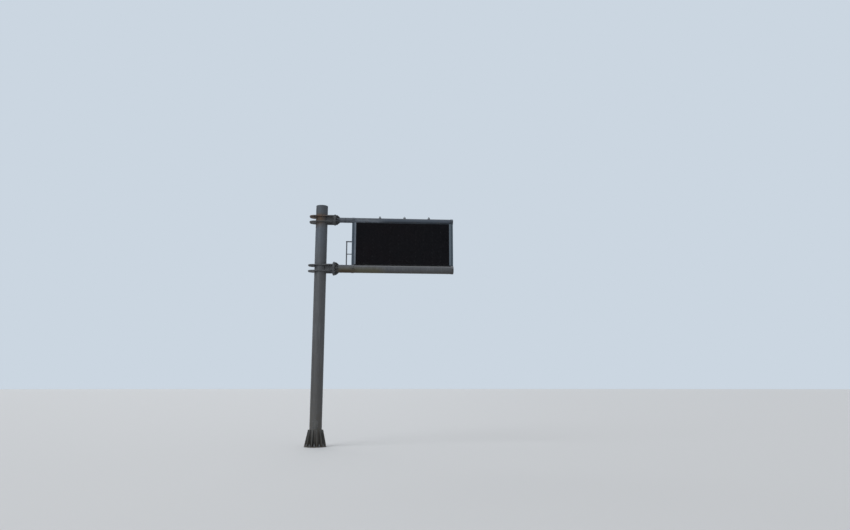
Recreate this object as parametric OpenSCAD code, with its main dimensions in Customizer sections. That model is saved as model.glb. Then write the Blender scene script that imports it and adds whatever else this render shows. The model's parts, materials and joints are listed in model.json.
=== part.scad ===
// Cantilever sign gantry: a steel pole on a bolted base flange carries two pipe arms,
// and a display cabinet hangs between the arms with a service walkway behind it.
// Origin: centre of the base flange's underside. +X runs along the arms, -Y is the
// sign's face and +Z is up. Millimetres.

/* [Main sizes] */
// Height of the pole pipe above the foundation
pole_h = 8805; // [7500:5:10500]
// Distance from the flanged joints to the left upright
arm_lead = 645; // [560:5:900]
// Height of the pole above the upper arm's axis
pole_over = 512; // [450:2:700]

/* [Pole] */
// Outside diameter of the pole pipe
pole_d = 440; // [400:2:460]
// Wall of the pole pipe
pole_wall = 10; // [6:1:14]
// Rise of the domed cap
cap_rise = 20; // [12:1:60]
// Thickness of the cap's rim
cap_rim = 12; // [6:1:20]

/* [Base] */
// Diameter of the base flange
base_d = 790; // [760:5:900]
// Thickness of the base flange
base_t = 30; // [20:1:45]
// Number of anchor bolts, with a gusset between each pair
anchor_count = 12; // [8:2:12]
// Diameter of the circle of anchor bolts
anchor_pcd = 660; // [620:5:680]
// Diameter of an anchor hole
anchor_hole_d = 40; // [30:1:45]
// Height of a base gusset
base_gusset_h = 560; // [300:10:600]
// Width of a base gusset at its top
base_gusset_top = 52; // [20:1:80]
// Height of a base gusset's outer toe
base_gusset_toe = 40; // [20:1:80]
// Thickness of a base gusset
base_gusset_t = 14; // [10:1:20]
// Corner cut off a base gusset where the pole's own weld passes
base_gusset_snipe = 20; // [10:1:30]
// Distance from the gussets' toes to the flange's rim
base_gusset_land = 10; // [5:1:20]
// Diameter of the cable hole in the base flange
cable_hole_d = 100; // [60:5:110]
// Distance from the pole's axis to the cable hole
cable_hole_y = 110; // [100:5:130]

/* [Hand hole] */
// Height of the hand hole's centre
hand_hole_z = 790; // [770:10:1100]
// Width of the hand hole
hand_hole_w = 130; // [90:5:160]
// Height of the hand hole
hand_hole_h = 280; // [200:10:360]
// How far the cover laps the hand hole on each side
cover_lap = 32; // [20:1:45]
// Thickness of the cover
cover_t = 6; // [3:0.5:10]

/* [Arms] */
// Outside diameter of the lower arm
lower_arm_d = 299; // [260:1:325]
// Wall of the lower arm
lower_arm_wall = 8; // [5:1:12]
// Outside diameter of the upper arm
upper_arm_d = 194; // [170:1:245]
// Wall of the upper arm
upper_arm_wall = 6; // [4:1:10]
// Thickness of the plates that close the arms' free ends
arm_cap_t = 8; // [5:1:12]
// How far the arms' closed ends stand out past the right upright
arm_overrun = 3; // [2:1:60]

/* [Flanged joints] */
// Distance from the pole's axis to the plane where the flanges meet
joint_x = 500; // [480:5:560]
// Thickness of a joint flange
flange_t = 25; // [18:1:32]
// Diameter of the lower joint's flanges
lower_flange_d = 520; // [490:5:560]
// Diameter of the lower joint's bolt circle
lower_flange_pcd = 440; // [420:2:450]
// Number of bolts in the lower joint
lower_flange_bolts = 12; // [8:2:12]
// Diameter of the upper joint's flanges
upper_flange_d = 420; // [400:5:460]
// Diameter of the upper joint's bolt circle
upper_flange_pcd = 345; // [330:1:355]
// Number of bolts in the upper joint
upper_flange_bolts = 8; // [6:2:12]
// Chamfer on the rims of the flanges
flange_chamfer = 3; // [1:0.5:5]
// Diameter of a flange bolt's hole
flange_hole_d = 26; // [18:1:30]
// Diameter of the cable hole in a pole flange
flange_cable_d = 120; // [80:5:140]
// Length of an arm gusset
arm_gusset_l = 150; // [100:5:220]
// Thickness of an arm gusset
arm_gusset_t = 10; // [8:1:14]
// Length over which an arm gusset keeps its full height
arm_gusset_flat = 60; // [20:5:80]
// Corner cut off an arm gusset where the arm's own weld passes
arm_gusset_snipe = 12; // [6:1:16]
// Height of an arm gusset's toe, and the land it leaves at the flange's rim
arm_gusset_toe = 18; // [12:1:24]

/* [Collars] */
// Distance from the pole's axis to the nose of a collar plate
collar_nose = 450; // [420:5:480]
// Radius of a collar plate's rounded corners
collar_corner = 200; // [150:5:205]
// Half width of a collar plate at the pole
collar_half_w = 265; // [258:1:290]
// Thickness of a collar plate
collar_t = 26; // [16:1:30]
// Distance between the two collar plates of a joint, centre to centre
collar_gap = 216; // [200:2:260]
// Distance between the two web plates, outside to outside
web_span = 260; // [220:2:264]
// Height of a web plate
web_h = 326; // [290:2:328]
// Thickness of a web plate
web_t = 14; // [10:1:20]

/* [Sign] */
// Width of an upright
upright_w = 90; // [70:1:110]
// Wall of an upright
upright_wall = 5; // [3:1:8]
// Thickness of the clamps that hold the uprights to the arms
clamp_t = 8; // [6:1:12]
// How far a clamp's ears stand out from the clamp
clamp_ear = 44; // [40:1:60]
// Gap between the two halves of a clamp
clamp_gap = 8; // [4:1:14]
// Diameter of a clamp bolt's hole
clamp_hole_d = 18; // [14:1:22]
// Distance between the two bolts in an ear
clamp_bolt_pitch = 50; // [40:2:56]
// Number of display modules across
module_cols = 11; // [7:1:11]
// Number of display modules down
module_rows = 10; // [8:1:10]
// Width of a display module
module_w = 320; // [300:1:330]
// Height of a display module
module_h = 160; // [150:1:165]
// Thickness of a display module
module_t = 15; // [10:1:25]
// Joint between two display modules
module_joint = 2; // [1:0.5:4]
// Thickness of the sheet behind the modules
mask_t = 6; // [3:1:10]
// Width of the bezel at the left and right of the display
bezel_side = 65; // [40:1:90]
// Width of the bezel above and below the display
bezel_edge = 5; // [4:1:12]
// Depth of the bezel
bezel_depth = 40; // [35:1:60]
// How far the display's face lies behind the bezel's front
display_recess = 6; // [3:1:12]
// Distance from the arms' axis to the front of the sign
sign_front = 120; // [80:5:140]
// Depth of the cabinet from the front of its bezel to its back
cabinet_depth = 250; // [200:5:300]
// Thickness of the cabinet's sheets
sheet_t = 3; // [2:0.5:5]
// Height of the saddles' seat between an arm and the cabinet
saddle_seat = 6; // [5:1:12]
// Width of a saddle along the arm
saddle_w = 80; // [50:5:120]
// Length of a saddle across the arm
saddle_l = 190; // [150:5:200]
// How far a saddle reaches down round the arm
saddle_drop = 60; // [55:1:70]
// Thickness of a saddle's two ribs
saddle_rib = 12; // [8:1:20]
// Number of saddles on each arm
saddle_count = 4; // [3:1:6]

/* [Rear doors] */
// Number of rear doors
door_count = 4; // [4:1:4]
// Width of the frame between two door openings
door_mullion = 70; // [60:5:100]
// Height of the frame above and below a door opening
door_rail = 70; // [60:5:110]
// How far a door laps its opening on each side
door_lap = 20; // [12:1:26]
// Depth of a door's folded tray
door_depth = 22; // [18:1:30]
// Number of louvres in a door's vent
louvre_count = 7; // [4:1:8]
// Pitch of the louvres
louvre_pitch = 32; // [28:1:36]
// Length of a louvre
louvre_l = 360; // [200:10:420]
// How far a louvre stands out of the door
louvre_out = 12; // [8:1:16]
// Share of the pitch that a louvre's hood covers
louvre_cover = 0.7; // [0.5:0.05:0.9]
// Distance from a door's foot and head to its vents
vent_margin = 150; // [80:5:200]

/* [Lifting lugs] */
// Number of lifting lugs
lug_count = 3; // [2:1:4]
// Distance between two lugs
lug_pitch = 930; // [700:5:1000]
// Distance from the middle of the sign to the middle of the row of lugs
lug_shift = 65; // [0:5:100]
// Half width of a lug's foot
lug_foot = 52; // [40:1:70]
// Height of a lug's hole above the arm
lug_rise = 45; // [38:1:70]
// Radius of a lug's eye
lug_r = 32; // [28:1:36]
// Diameter of a lug's hole
lug_hole_d = 30; // [20:1:34]
// Thickness of a lug
lug_t = 14; // [10:1:20]

/* [Walkway] */
// Distance from the left upright back to the first rail post
walk_lead = 230; // [150:5:300]
// Distance from the last rail post to the right upright
walk_end_gap = 40; // [36:1:80]
// Number of rail posts
post_count = 5; // [4:1:6]
// Height of the deck above the lower arm's axis
deck_rise = 140; // [125:1:180]
// Distance from the doors' louvres to the deck's front edge
deck_gap = 36; // [10:2:60]
// Width of the deck
deck_w = 650; // [550:10:700]
// How far the deck runs on past the first and last rail posts
deck_overrun = 100; // [50:5:150]
// Number of grating panels
panel_count = 4; // [4:1:4]
// Pitch of a grating's bearing bars
grate_pitch = 40; // [36:1:60]
// Pitch of a grating's cross bars
grate_cross = 100; // [80:5:120]
// Height of a grating's cross bars
grate_cross_h = 12; // [8:1:16]
// Height of a grating
grate_h = 30; // [25:1:40]
// Thickness of a grating's bars
grate_bar = 5; // [4:0.5:6]
// Gap between two grating panels
panel_gap = 6; // [4:1:12]
// Height of a stringer channel
stringer_h = 60; // [50:1:80]
// Width of a stringer channel's flanges
stringer_w = 35; // [28:1:45]
// Thickness of a stringer channel
stringer_t = 5; // [4:0.5:7]
// Depth of a bracket at its free end
bracket_end = 50; // [40:1:60]
// Depth of a bracket at the arm
bracket_root = 170; // [130:5:190]
// Thickness of a bracket
bracket_t = 10; // [8:1:14]
// Width of the flat on top of a bracket
bracket_flat_w = 60; // [50:2:90]
// Thickness of the flat on top of a bracket
bracket_flat_t = 8; // [6:1:10]
// Height of the toe board above the deck
toe_h = 150; // [100:5:180]
// Thickness of the toe board
toe_t = 5; // [4:0.5:8]
// Height of the handrail's top above the deck
rail_h = 1120; // [950:10:1200]
// Height of the mid rail's axis above the deck
mid_rail_h = 600; // [450:10:650]
// Outside diameter of the posts and the handrail
rail_d = 48; // [38:1:60]
// Outside diameter of the mid rail
mid_rail_d = 34; // [26:1:38]
// Wall of the rail pipes
rail_wall = 3; // [2:0.5:5]
// Thickness of a post's foot plate
foot_t = 8; // [6:1:12]
// Distance from the deck's front edge to the end rail's front post
end_post_in = 50; // [49:1:80]

/* [Hidden] */
$fn = 96;
// Gap left for the weld between a round surface and a plate cut to it
seat = 0.3;

pole_r = pole_d / 2;
lower_arm_r = lower_arm_d / 2;
upper_arm_r = upper_arm_d / 2;

display_w = module_cols * module_w;
display_h = module_rows * module_h;
cabinet_w = display_w + 2 * bezel_side;
cabinet_h = display_h + 2 * bezel_edge;
left_upright_x = joint_x + arm_lead;
cabinet_x = left_upright_x + upright_w;
right_upright_x = cabinet_x + cabinet_w;
arm_reach = right_upright_x + upright_w + arm_overrun - arm_cap_t;
cabinet_back = cabinet_depth - sign_front;
upper_arm_z = pole_h - pole_over;
cabinet_z = upper_arm_z - upper_arm_r - saddle_seat - cabinet_h;
lower_arm_z = cabinet_z - saddle_seat - lower_arm_r;

// Centre of the rounding at a collar's corner
collar_corner_x = collar_nose - collar_corner;
collar_corner_y = collar_half_w - collar_corner;
pole_flange_x = joint_x - flange_t;
web_inner = web_span / 2 - web_t;
// Where the collar has narrowed enough to pass between the webs
slot_end = collar_corner_x + sqrt(pow(collar_corner, 2) - pow(web_inner - collar_corner_y, 2)) + 1;

door_pitch = (cabinet_w - door_mullion) / door_count;
door_hole_w = door_pitch - door_mullion;
door_hole_h = cabinet_h - 2 * door_rail;

deck_z = lower_arm_z + deck_rise;
deck_front = cabinet_back + door_depth + louvre_out + deck_gap;
bracket_z = deck_z - grate_h - stringer_h;
deck_back = deck_front + deck_w;
post_y = deck_back + rail_d / 2 + toe_t;
walk_x = left_upright_x - walk_lead;
walk_end_x = right_upright_x - walk_end_gap;
post_pitch = (walk_end_x - walk_x) / (post_count - 1);
deck_x = walk_x - deck_overrun;
deck_l = walk_end_x - walk_x + 2 * deck_overrun;
panel_l = (deck_l - (panel_count - 1) * panel_gap) / panel_count;
rail_z = deck_z + rail_h - rail_d / 2;
end_post_y = deck_front + end_post_in;

galvanised = [0.62, 0.65, 0.68];
weathered = [0.50, 0.50, 0.47];
dark_steel = [0.36, 0.38, 0.41];
display_black = [0.07, 0.07, 0.09];
sheet_grey = [0.56, 0.60, 0.64];

// A straight pipe along +Z
module pipe(d, wall, length) {
    difference() {
        cylinder(d = d, h = length);
        translate([0, 0, -1]) cylinder(d = d - 2 * wall, h = length + 2);
    }
}

// Turns what is built along +Z so that it runs along +X
module along_x() {
    rotate([0, 90, 0]) children();
}

// The room that a round member needs in a plate cut to fit it
module round_room(d, length) {
    cylinder(d = d + 2 * seat, h = length);
}

module arm_room(d, z) {
    translate([0, 0, z]) along_x() round_room(d, right_upright_x + 2 * upright_w);
}

module bolt_ring(pcd, count, d, length) {
    for (i = [0 : count - 1])
        rotate(i * 360 / count) translate([pcd / 2, 0, -1]) cylinder(d = d, h = length + 2, $fn = 32);
}

module pole_shaft() {
    color(galvanised)
    difference() {
        translate([0, 0, base_t]) pipe(pole_d, pole_wall, pole_h - base_t);
        hand_hole();
    }
}

module hand_hole() {
    translate([0, 0, hand_hole_z]) rotate([90, 0, 0])
        linear_extrude(pole_r + 1) rounded_slot(hand_hole_w, hand_hole_h);
}

// An upright opening with half-round ends
module rounded_slot(w, h) {
    square([w, h - w], center = true);
    for (side = [-1, 1]) translate([0, side * (h - w) / 2]) circle(d = w);
}

module hand_hole_cover() {
    color(weathered)
    intersection() {
        translate([0, 0, hand_hole_z - hand_hole_h])
            difference() {
                cylinder(r = pole_r + seat + cover_t, h = 2 * hand_hole_h);
                translate([0, 0, -1]) cylinder(r = pole_r + seat, h = 2 * hand_hole_h + 2);
            }
        translate([0, 0, hand_hole_z]) rotate([90, 0, 0])
            linear_extrude(pole_r + 2 * cover_t)
                rounded_slot(hand_hole_w + 2 * cover_lap, hand_hole_h + 2 * cover_lap);
    }
}

// A plate with a shallow dome whose sphere meets the pole's edge
module pole_cap() {
    dome_r = (pow(pole_r, 2) + pow(cap_rise, 2)) / (2 * cap_rise);
    color(galvanised)
    translate([0, 0, pole_h])
        rotate_extrude()
            intersection() {
                translate([0, cap_rim + cap_rise - dome_r]) circle(dome_r, $fn = 360);
                square([pole_r, cap_rim + cap_rise]);
            }
}

module base_flange() {
    color(weathered)
    difference() {
        rotate_extrude()
            polygon([[0, 0], [base_d / 2, 0], [base_d / 2, base_t - flange_chamfer],
                [base_d / 2 - flange_chamfer, base_t], [0, base_t]]);
        bolt_ring(anchor_pcd, anchor_count, anchor_hole_d, base_t);
        translate([0, cable_hole_y, -1]) cylinder(d = cable_hole_d, h = base_t + 2);
    }
}

module base_gussets() {
    inner = pole_r + seat;
    outer = base_d / 2 - base_gusset_land;
    color(weathered)
    for (i = [0 : anchor_count - 1])
        rotate((i + 0.5) * 360 / anchor_count)
            translate([0, base_gusset_t / 2, base_t]) rotate([90, 0, 0])
                linear_extrude(base_gusset_t)
                    polygon([[inner + base_gusset_snipe, 0], [outer, 0], [outer, base_gusset_toe],
                        [inner + base_gusset_top, base_gusset_h], [inner, base_gusset_h],
                        [inner, base_gusset_snipe]]);
}

// A collar plate: round corners about the pole, and a tongue that runs to the flange
module collar_outline() {
    difference() {
        union() {
            square([2 * collar_nose, 2 * collar_corner_y], center = true);
            square([2 * collar_corner_x, 2 * collar_half_w], center = true);
            for (x = [-1, 1], y = [-1, 1])
                translate([x * collar_corner_x, y * collar_corner_y]) circle(collar_corner);
            translate([0, -web_inner]) square([pole_flange_x, 2 * web_inner]);
        }
        circle(r = pole_r + seat);
    }
}

module collar_plate(z) {
    color(dark_steel)
    translate([0, 0, z - collar_t / 2]) linear_extrude(collar_t) collar_outline();
}

module upper_collar_top() {
    collar_plate(upper_arm_z + collar_gap / 2);
}

module upper_collar_bottom() {
    collar_plate(upper_arm_z - collar_gap / 2);
}

module lower_collar_top() {
    collar_plate(lower_arm_z + collar_gap / 2);
}

module lower_collar_bottom() {
    collar_plate(lower_arm_z - collar_gap / 2);
}

// Two upright plates from the pole to the flange, slotted so that the collars pass through
module joint_webs(z) {
    color(dark_steel)
    difference() {
        for (side = [-1, 1])
            translate([0, side * (web_span - web_t) / 2 - web_t / 2, z - web_h / 2])
                cube([pole_flange_x, web_t, web_h]);
        translate([0, 0, z - web_h]) round_room(pole_d, 2 * web_h);
        for (side = [-1, 1])
            translate([0, -web_span, z + side * collar_gap / 2 - collar_t / 2])
                cube([slot_end, 2 * web_span, collar_t]);
    }
}

module upper_joint_webs() {
    joint_webs(upper_arm_z);
}

module lower_joint_webs() {
    joint_webs(lower_arm_z);
}

module flange(d, pcd, bolts, bore) {
    rim = d / 2 - flange_chamfer;
    along_x()
        difference() {
            rotate_extrude()
                polygon([[0, 0], [rim, 0], [d / 2, flange_chamfer], [d / 2, flange_t - flange_chamfer],
                    [rim, flange_t], [0, flange_t]]);
            rotate(180 / bolts) bolt_ring(pcd, bolts, flange_hole_d, flange_t);
            translate([0, 0, -1]) cylinder(d = bore, h = flange_t + 2);
        }
}

module upper_pole_flange() {
    color(dark_steel) translate([pole_flange_x, 0, upper_arm_z])
        flange(upper_flange_d, upper_flange_pcd, upper_flange_bolts, flange_cable_d);
}

module lower_pole_flange() {
    color(dark_steel) translate([pole_flange_x, 0, lower_arm_z])
        flange(lower_flange_d, lower_flange_pcd, lower_flange_bolts, flange_cable_d);
}

module upper_arm_flange() {
    color(dark_steel) translate([joint_x, 0, upper_arm_z])
        flange(upper_flange_d, upper_flange_pcd, upper_flange_bolts, upper_arm_d + 2 * seat);
}

module lower_arm_flange() {
    color(dark_steel) translate([joint_x, 0, lower_arm_z])
        flange(lower_flange_d, lower_flange_pcd, lower_flange_bolts, lower_arm_d + 2 * seat);
}

// Gussets between the bolts, from the flange back along the arm
module arm_gussets(arm_r, flange_r, bolts) {
    foot = arm_r + seat;
    tip = flange_r - arm_gusset_toe;
    color(dark_steel)
    for (i = [0 : bolts - 1])
        rotate([i * 360 / bolts, 0, 0])
            translate([0, arm_gusset_t / 2, 0]) rotate([90, 0, 0])
                linear_extrude(arm_gusset_t)
                    polygon([[0, foot + arm_gusset_snipe], [0, tip], [arm_gusset_flat, tip],
                        [arm_gusset_l, foot + arm_gusset_toe], [arm_gusset_l, foot],
                        [arm_gusset_snipe, foot]]);
}

module upper_arm_gussets() {
    translate([joint_x + flange_t, 0, upper_arm_z])
        arm_gussets(upper_arm_r, upper_flange_d / 2, upper_flange_bolts);
}

module lower_arm_gussets() {
    translate([joint_x + flange_t, 0, lower_arm_z])
        arm_gussets(lower_arm_r, lower_flange_d / 2, lower_flange_bolts);
}

module arm(d, wall, z) {
    color(galvanised)
    translate([joint_x, 0, z]) along_x() pipe(d, wall, arm_reach - joint_x);
}

module upper_arm() {
    arm(upper_arm_d, upper_arm_wall, upper_arm_z);
}

module lower_arm() {
    arm(lower_arm_d, lower_arm_wall, lower_arm_z);
}

module arm_caps() {
    color(galvanised) {
        translate([arm_reach, 0, upper_arm_z]) along_x() cylinder(d = upper_arm_d, h = arm_cap_t);
        translate([arm_reach, 0, lower_arm_z]) along_x() cylinder(d = lower_arm_d, h = arm_cap_t);
    }
}

// A square with round corners, about its own centre
module rounded_square(w, r) {
    square([w, w - 2 * r], center = true);
    square([w - 2 * r, w], center = true);
    for (x = [-1, 1], y = [-1, 1]) translate([x, y] * (w / 2 - r)) circle(r);
}

// A square tube whose ends are coped to the clamps round the two arms
module upright(x) {
    color(sheet_grey)
    difference() {
        translate([x + upright_w / 2, 0, lower_arm_z])
            linear_extrude(upper_arm_z - lower_arm_z)
                difference() {
                    rounded_square(upright_w, 2 * upright_wall);
                    rounded_square(upright_w - 2 * upright_wall, upright_wall);
                }
        arm_room(clamp_d(lower_arm_d), lower_arm_z);
        arm_room(clamp_d(upper_arm_d), upper_arm_z);
    }
}

module left_upright() {
    upright(left_upright_x);
}

module right_upright() {
    upright(right_upright_x);
}

// Outside diameter of the clamp round an arm
function clamp_d(arm_d) = arm_d + 2 * seat + 2 * clamp_t;

// Two half shells round an arm, with an ear on each side for two bolts
module clamp(x, arm_d, z) {
    ear_end = clamp_d(arm_d) / 2 + clamp_ear;
    color(dark_steel)
    translate([x, 0, z])
        difference() {
            along_x() linear_extrude(upright_w)
                difference() {
                    union() {
                        circle(d = clamp_d(arm_d));
                        square([clamp_gap + 2 * clamp_t, 2 * ear_end], center = true);
                    }
                    circle(d = arm_d + 2 * seat);
                    square([clamp_gap, 2 * ear_end + 2], center = true);
                }
            for (side = [-1, 1], end = [-1, 1])
                translate([(upright_w + end * clamp_bolt_pitch) / 2, side * (ear_end - clamp_ear / 2),
                    -clamp_gap - clamp_t])
                    cylinder(d = clamp_hole_d, h = 2 * (clamp_gap + clamp_t));
        }
}

module upper_clamps() {
    for (x = [left_upright_x, right_upright_x]) clamp(x, upper_arm_d, upper_arm_z);
}

module lower_clamps() {
    for (x = [left_upright_x, right_upright_x]) clamp(x, lower_arm_d, lower_arm_z);
}

// Seat plates on two ribs each, which straddle an arm and carry the cabinet; up is 1 on top
// of the arm, -1 below it
module saddles(arm_d, arm_z, up) {
    seat_z = arm_z + up * arm_d / 2;
    color(dark_steel)
    difference() {
        for (i = [0 : saddle_count - 1])
            translate([cabinet_x + (i + 0.5) * cabinet_w / saddle_count, 0, seat_z])
                rotate([up > 0 ? 0 : 180, 0, 0]) saddle();
        arm_room(arm_d, arm_z);
    }
}

module saddle() {
    translate([-saddle_w / 2, -saddle_l / 2, 0]) cube([saddle_w, saddle_l, saddle_seat]);
    for (x = [-saddle_w / 2, saddle_w / 2 - saddle_rib])
        translate([x, -saddle_l / 2, -saddle_drop]) cube([saddle_rib, saddle_l, saddle_drop]);
}

module upper_saddles() {
    saddles(upper_arm_d, upper_arm_z, -1);
}

module lower_saddles() {
    saddles(lower_arm_d, lower_arm_z, 1);
}

// Eye plates that stand in a row on top of the upper arm
module lifting_lugs() {
    first_x = cabinet_x + cabinet_w / 2 + lug_shift - (lug_count - 1) * lug_pitch / 2;
    color(dark_steel)
    for (i = [0 : lug_count - 1])
        translate([first_x + i * lug_pitch, lug_t / 2, upper_arm_z + upper_arm_r]) rotate([90, 0, 0])
            linear_extrude(lug_t)
                difference() {
                    union() {
                        translate([0, lug_rise]) circle(lug_r);
                        polygon([[-lug_foot, 0], [lug_foot, 0], [lug_r, lug_rise], [-lug_r, lug_rise]]);
                    }
                    translate([0, lug_rise]) circle(d = lug_hole_d);
                }
}

// Folded sheet box, open behind the display and at each door
module cabinet_shell() {
    front = bezel_depth - sign_front;
    color(sheet_grey)
    difference() {
        translate([cabinet_x, front, cabinet_z])
            cube([cabinet_w, cabinet_back - front, cabinet_h]);
        translate([cabinet_x + sheet_t, front - 1, cabinet_z + sheet_t])
            cube([cabinet_w - 2 * sheet_t, cabinet_back - front + 1 - sheet_t,
                cabinet_h - 2 * sheet_t]);
        for (i = [0 : door_count - 1])
            translate([cabinet_x + door_mullion + i * door_pitch, cabinet_back - 2 * sheet_t,
                cabinet_z + door_rail])
                cube([door_hole_w, 3 * sheet_t, door_hole_h]);
    }
}

module cabinet_bezel() {
    color(sheet_grey)
    difference() {
        translate([cabinet_x, -sign_front, cabinet_z]) cube([cabinet_w, bezel_depth, cabinet_h]);
        translate([cabinet_x + bezel_side, -sign_front - 1, cabinet_z + bezel_edge])
            cube([display_w, bezel_depth + 2, display_h]);
    }
}

// The modules stand on one sheet, with a narrow joint between each two
module display_face() {
    front = display_recess - sign_front;
    color(display_black)
    translate([cabinet_x + bezel_side, front + module_t + mask_t, cabinet_z + bezel_edge])
        rotate([90, 0, 0]) {
            linear_extrude(mask_t) square([display_w, display_h]);
            translate([0, 0, mask_t])
                linear_extrude(module_t)
                    for (col = [0 : module_cols - 1], row = [0 : module_rows - 1])
                        translate([col * module_w + module_joint / 2, row * module_h + module_joint / 2])
                            square([module_w - module_joint, module_h - module_joint]);
        }
}

// A folded tray that laps its opening, with a block of pressed louvres near its foot and head
module rear_door(i) {
    door_w = door_hole_w + 2 * door_lap;
    door_h = door_hole_h + 2 * door_lap;
    vent_h = louvre_count * louvre_pitch;
    color(sheet_grey)
    translate([cabinet_x + door_mullion + i * door_pitch - door_lap, cabinet_back,
        cabinet_z + door_rail - door_lap]) {
        difference() {
            cube([door_w, door_depth, door_h]);
            translate([sheet_t, -1, sheet_t])
                cube([door_w - 2 * sheet_t, door_depth + 1 - sheet_t, door_h - 2 * sheet_t]);
        }
        for (vent = [0, 1], k = [0 : louvre_count - 1])
            translate([(door_w + louvre_l) / 2, door_depth,
                vent_margin + vent * (door_h - 2 * vent_margin - vent_h) + k * louvre_pitch])
                rotate([90, 0, -90])
                    linear_extrude(louvre_l)
                        polygon([[0, 0], [-louvre_out, 0], [0, louvre_pitch * louvre_cover]]);
    }
}

module rear_door_1() {
    rear_door(0);
}

module rear_door_2() {
    rear_door(1);
}

module rear_door_3() {
    rear_door(2);
}

module rear_door_4() {
    rear_door(3);
}

// Tapered plates welded to the back of the lower arm, each with a flat along its top
module walkway_brackets() {
    root_y = lower_arm_r / 2;
    end_y = post_y + rail_d;
    color(dark_steel)
    difference() {
        for (i = [0 : post_count - 1])
            translate([walk_x + i * post_pitch, 0, bracket_z]) {
                translate([-bracket_t / 2, 0, 0]) rotate([90, 0, 90])
                    linear_extrude(bracket_t)
                        polygon([[root_y, 0], [end_y, 0], [end_y, -bracket_end],
                            [root_y, -bracket_root]]);
                translate([-bracket_flat_w / 2, root_y, -bracket_flat_t])
                    cube([bracket_flat_w, end_y - root_y, bracket_flat_t]);
            }
        arm_room(lower_arm_d, lower_arm_z);
    }
}

// Two channels along the walkway, their open sides turned outwards
module walkway_stringers() {
    color(galvanised) {
        stringer(deck_front, -1);
        stringer(deck_back - stringer_w, 1);
    }
}

module stringer(y, side) {
    translate([deck_x, y, bracket_z])
        difference() {
            cube([deck_l, stringer_w, stringer_h]);
            translate([-1, side * stringer_t, stringer_t])
                cube([deck_l + 2, stringer_w, stringer_h - 2 * stringer_t]);
        }
}

// Bearing bars on edge between two banding bars, with shallow cross bars let into their tops
module grating(i) {
    bars = floor(panel_l / grate_pitch);
    bar_step = (panel_l - grate_bar) / bars;
    crosses = floor(deck_w / grate_cross);
    cross_step = (deck_w - grate_bar) / crosses;
    color(galvanised)
    translate([deck_x + i * (panel_l + panel_gap), deck_front, deck_z - grate_h]) {
        linear_extrude(grate_h) {
            for (k = [0 : bars]) translate([k * bar_step, 0]) square([grate_bar, deck_w]);
            for (k = [0, crosses]) translate([0, k * cross_step]) square([panel_l, grate_bar]);
        }
        translate([0, 0, grate_h - grate_cross_h])
            linear_extrude(grate_cross_h)
                for (k = [1 : crosses - 1]) translate([0, k * cross_step]) square([panel_l, grate_bar]);
    }
}

module grating_1() {
    grating(0);
}

module grating_2() {
    grating(1);
}

module grating_3() {
    grating(2);
}

module grating_4() {
    grating(3);
}

module toe_board() {
    color(galvanised)
    translate([deck_x, deck_back, deck_z - grate_h])
        cube([deck_l, toe_t, toe_h + grate_h]);
}

module rail_post(x, y, foot_z) {
    translate([x, y, foot_z + foot_t]) pipe(rail_d, rail_wall, rail_z - foot_z - foot_t);
}

// A length of round bar along the walkway's back edge at the handrail's height
module rail_bar() {
    translate([walk_x - rail_d / 2, post_y, rail_z]) along_x()
        cylinder(d = rail_d, h = walk_end_x - walk_x + rail_d);
}

module rail_room() {
    translate([walk_x - rail_d, post_y, rail_z]) along_x()
        round_room(rail_d, walk_end_x - walk_x + 2 * rail_d);
}

module post_room(x, y) {
    translate([x, y, deck_z]) round_room(rail_d, rail_h);
}

// Posts that stand on the brackets and are coped under the handrail
module rail_posts() {
    color(galvanised)
    difference() {
        for (i = [0 : post_count - 1]) {
            x = walk_x + i * post_pitch;
            rail_post(x, post_y, bracket_z);
            translate([x - rail_d, post_y - rail_d / 2, bracket_z])
                cube([2 * rail_d, rail_d * 3 / 2, foot_t]);
        }
        rail_room();
    }
}

module handrail() {
    color(galvanised) rail_bar();
}

// Lengths of pipe between the posts, coped to them
module mid_rail() {
    color(galvanised)
    difference() {
        translate([walk_x, post_y, deck_z + mid_rail_h]) along_x()
            pipe(mid_rail_d, rail_wall, walk_end_x - walk_x);
        for (i = [0 : post_count - 1]) post_room(walk_x + i * post_pitch, post_y);
    }
}

// The guard across the walkway's far end: one more post on the deck, and two cross rails
module end_rail() {
    color(galvanised) {
        translate([walk_end_x - rail_d, end_post_y - rail_d, deck_z])
            cube([2 * rail_d, 2 * rail_d, foot_t]);
        difference() {
            rail_post(walk_end_x, end_post_y, deck_z);
            translate([walk_end_x, 0, rail_z]) rotate([-90, 0, 0]) round_room(rail_d, post_y);
        }
        difference() {
            translate([walk_end_x, end_post_y - rail_d / 2, rail_z]) rotate([-90, 0, 0])
                cylinder(d = rail_d, h = post_y - end_post_y);
            rail_room();
        }
        difference() {
            translate([walk_end_x, end_post_y, deck_z + mid_rail_h]) rotate([-90, 0, 0])
                pipe(mid_rail_d, rail_wall, post_y - end_post_y);
            post_room(walk_end_x, end_post_y);
            post_room(walk_end_x, post_y);
        }
    }
}

pole_shaft();
pole_cap();
base_flange();
base_gussets();
hand_hole_cover();
upper_collar_top();
upper_collar_bottom();
lower_collar_top();
lower_collar_bottom();
upper_joint_webs();
lower_joint_webs();
upper_pole_flange();
lower_pole_flange();
upper_arm_flange();
lower_arm_flange();
upper_arm_gussets();
lower_arm_gussets();
upper_arm();
lower_arm();
arm_caps();
left_upright();
right_upright();
upper_clamps();
lower_clamps();
upper_saddles();
lower_saddles();
lifting_lugs();
cabinet_shell();
cabinet_bezel();
display_face();
rear_door_1();
rear_door_2();
rear_door_3();
rear_door_4();
walkway_brackets();
walkway_stringers();
grating_1();
grating_2();
grating_3();
grating_4();
toe_board();
rail_posts();
handrail();
mid_rail();
end_rail();
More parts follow.
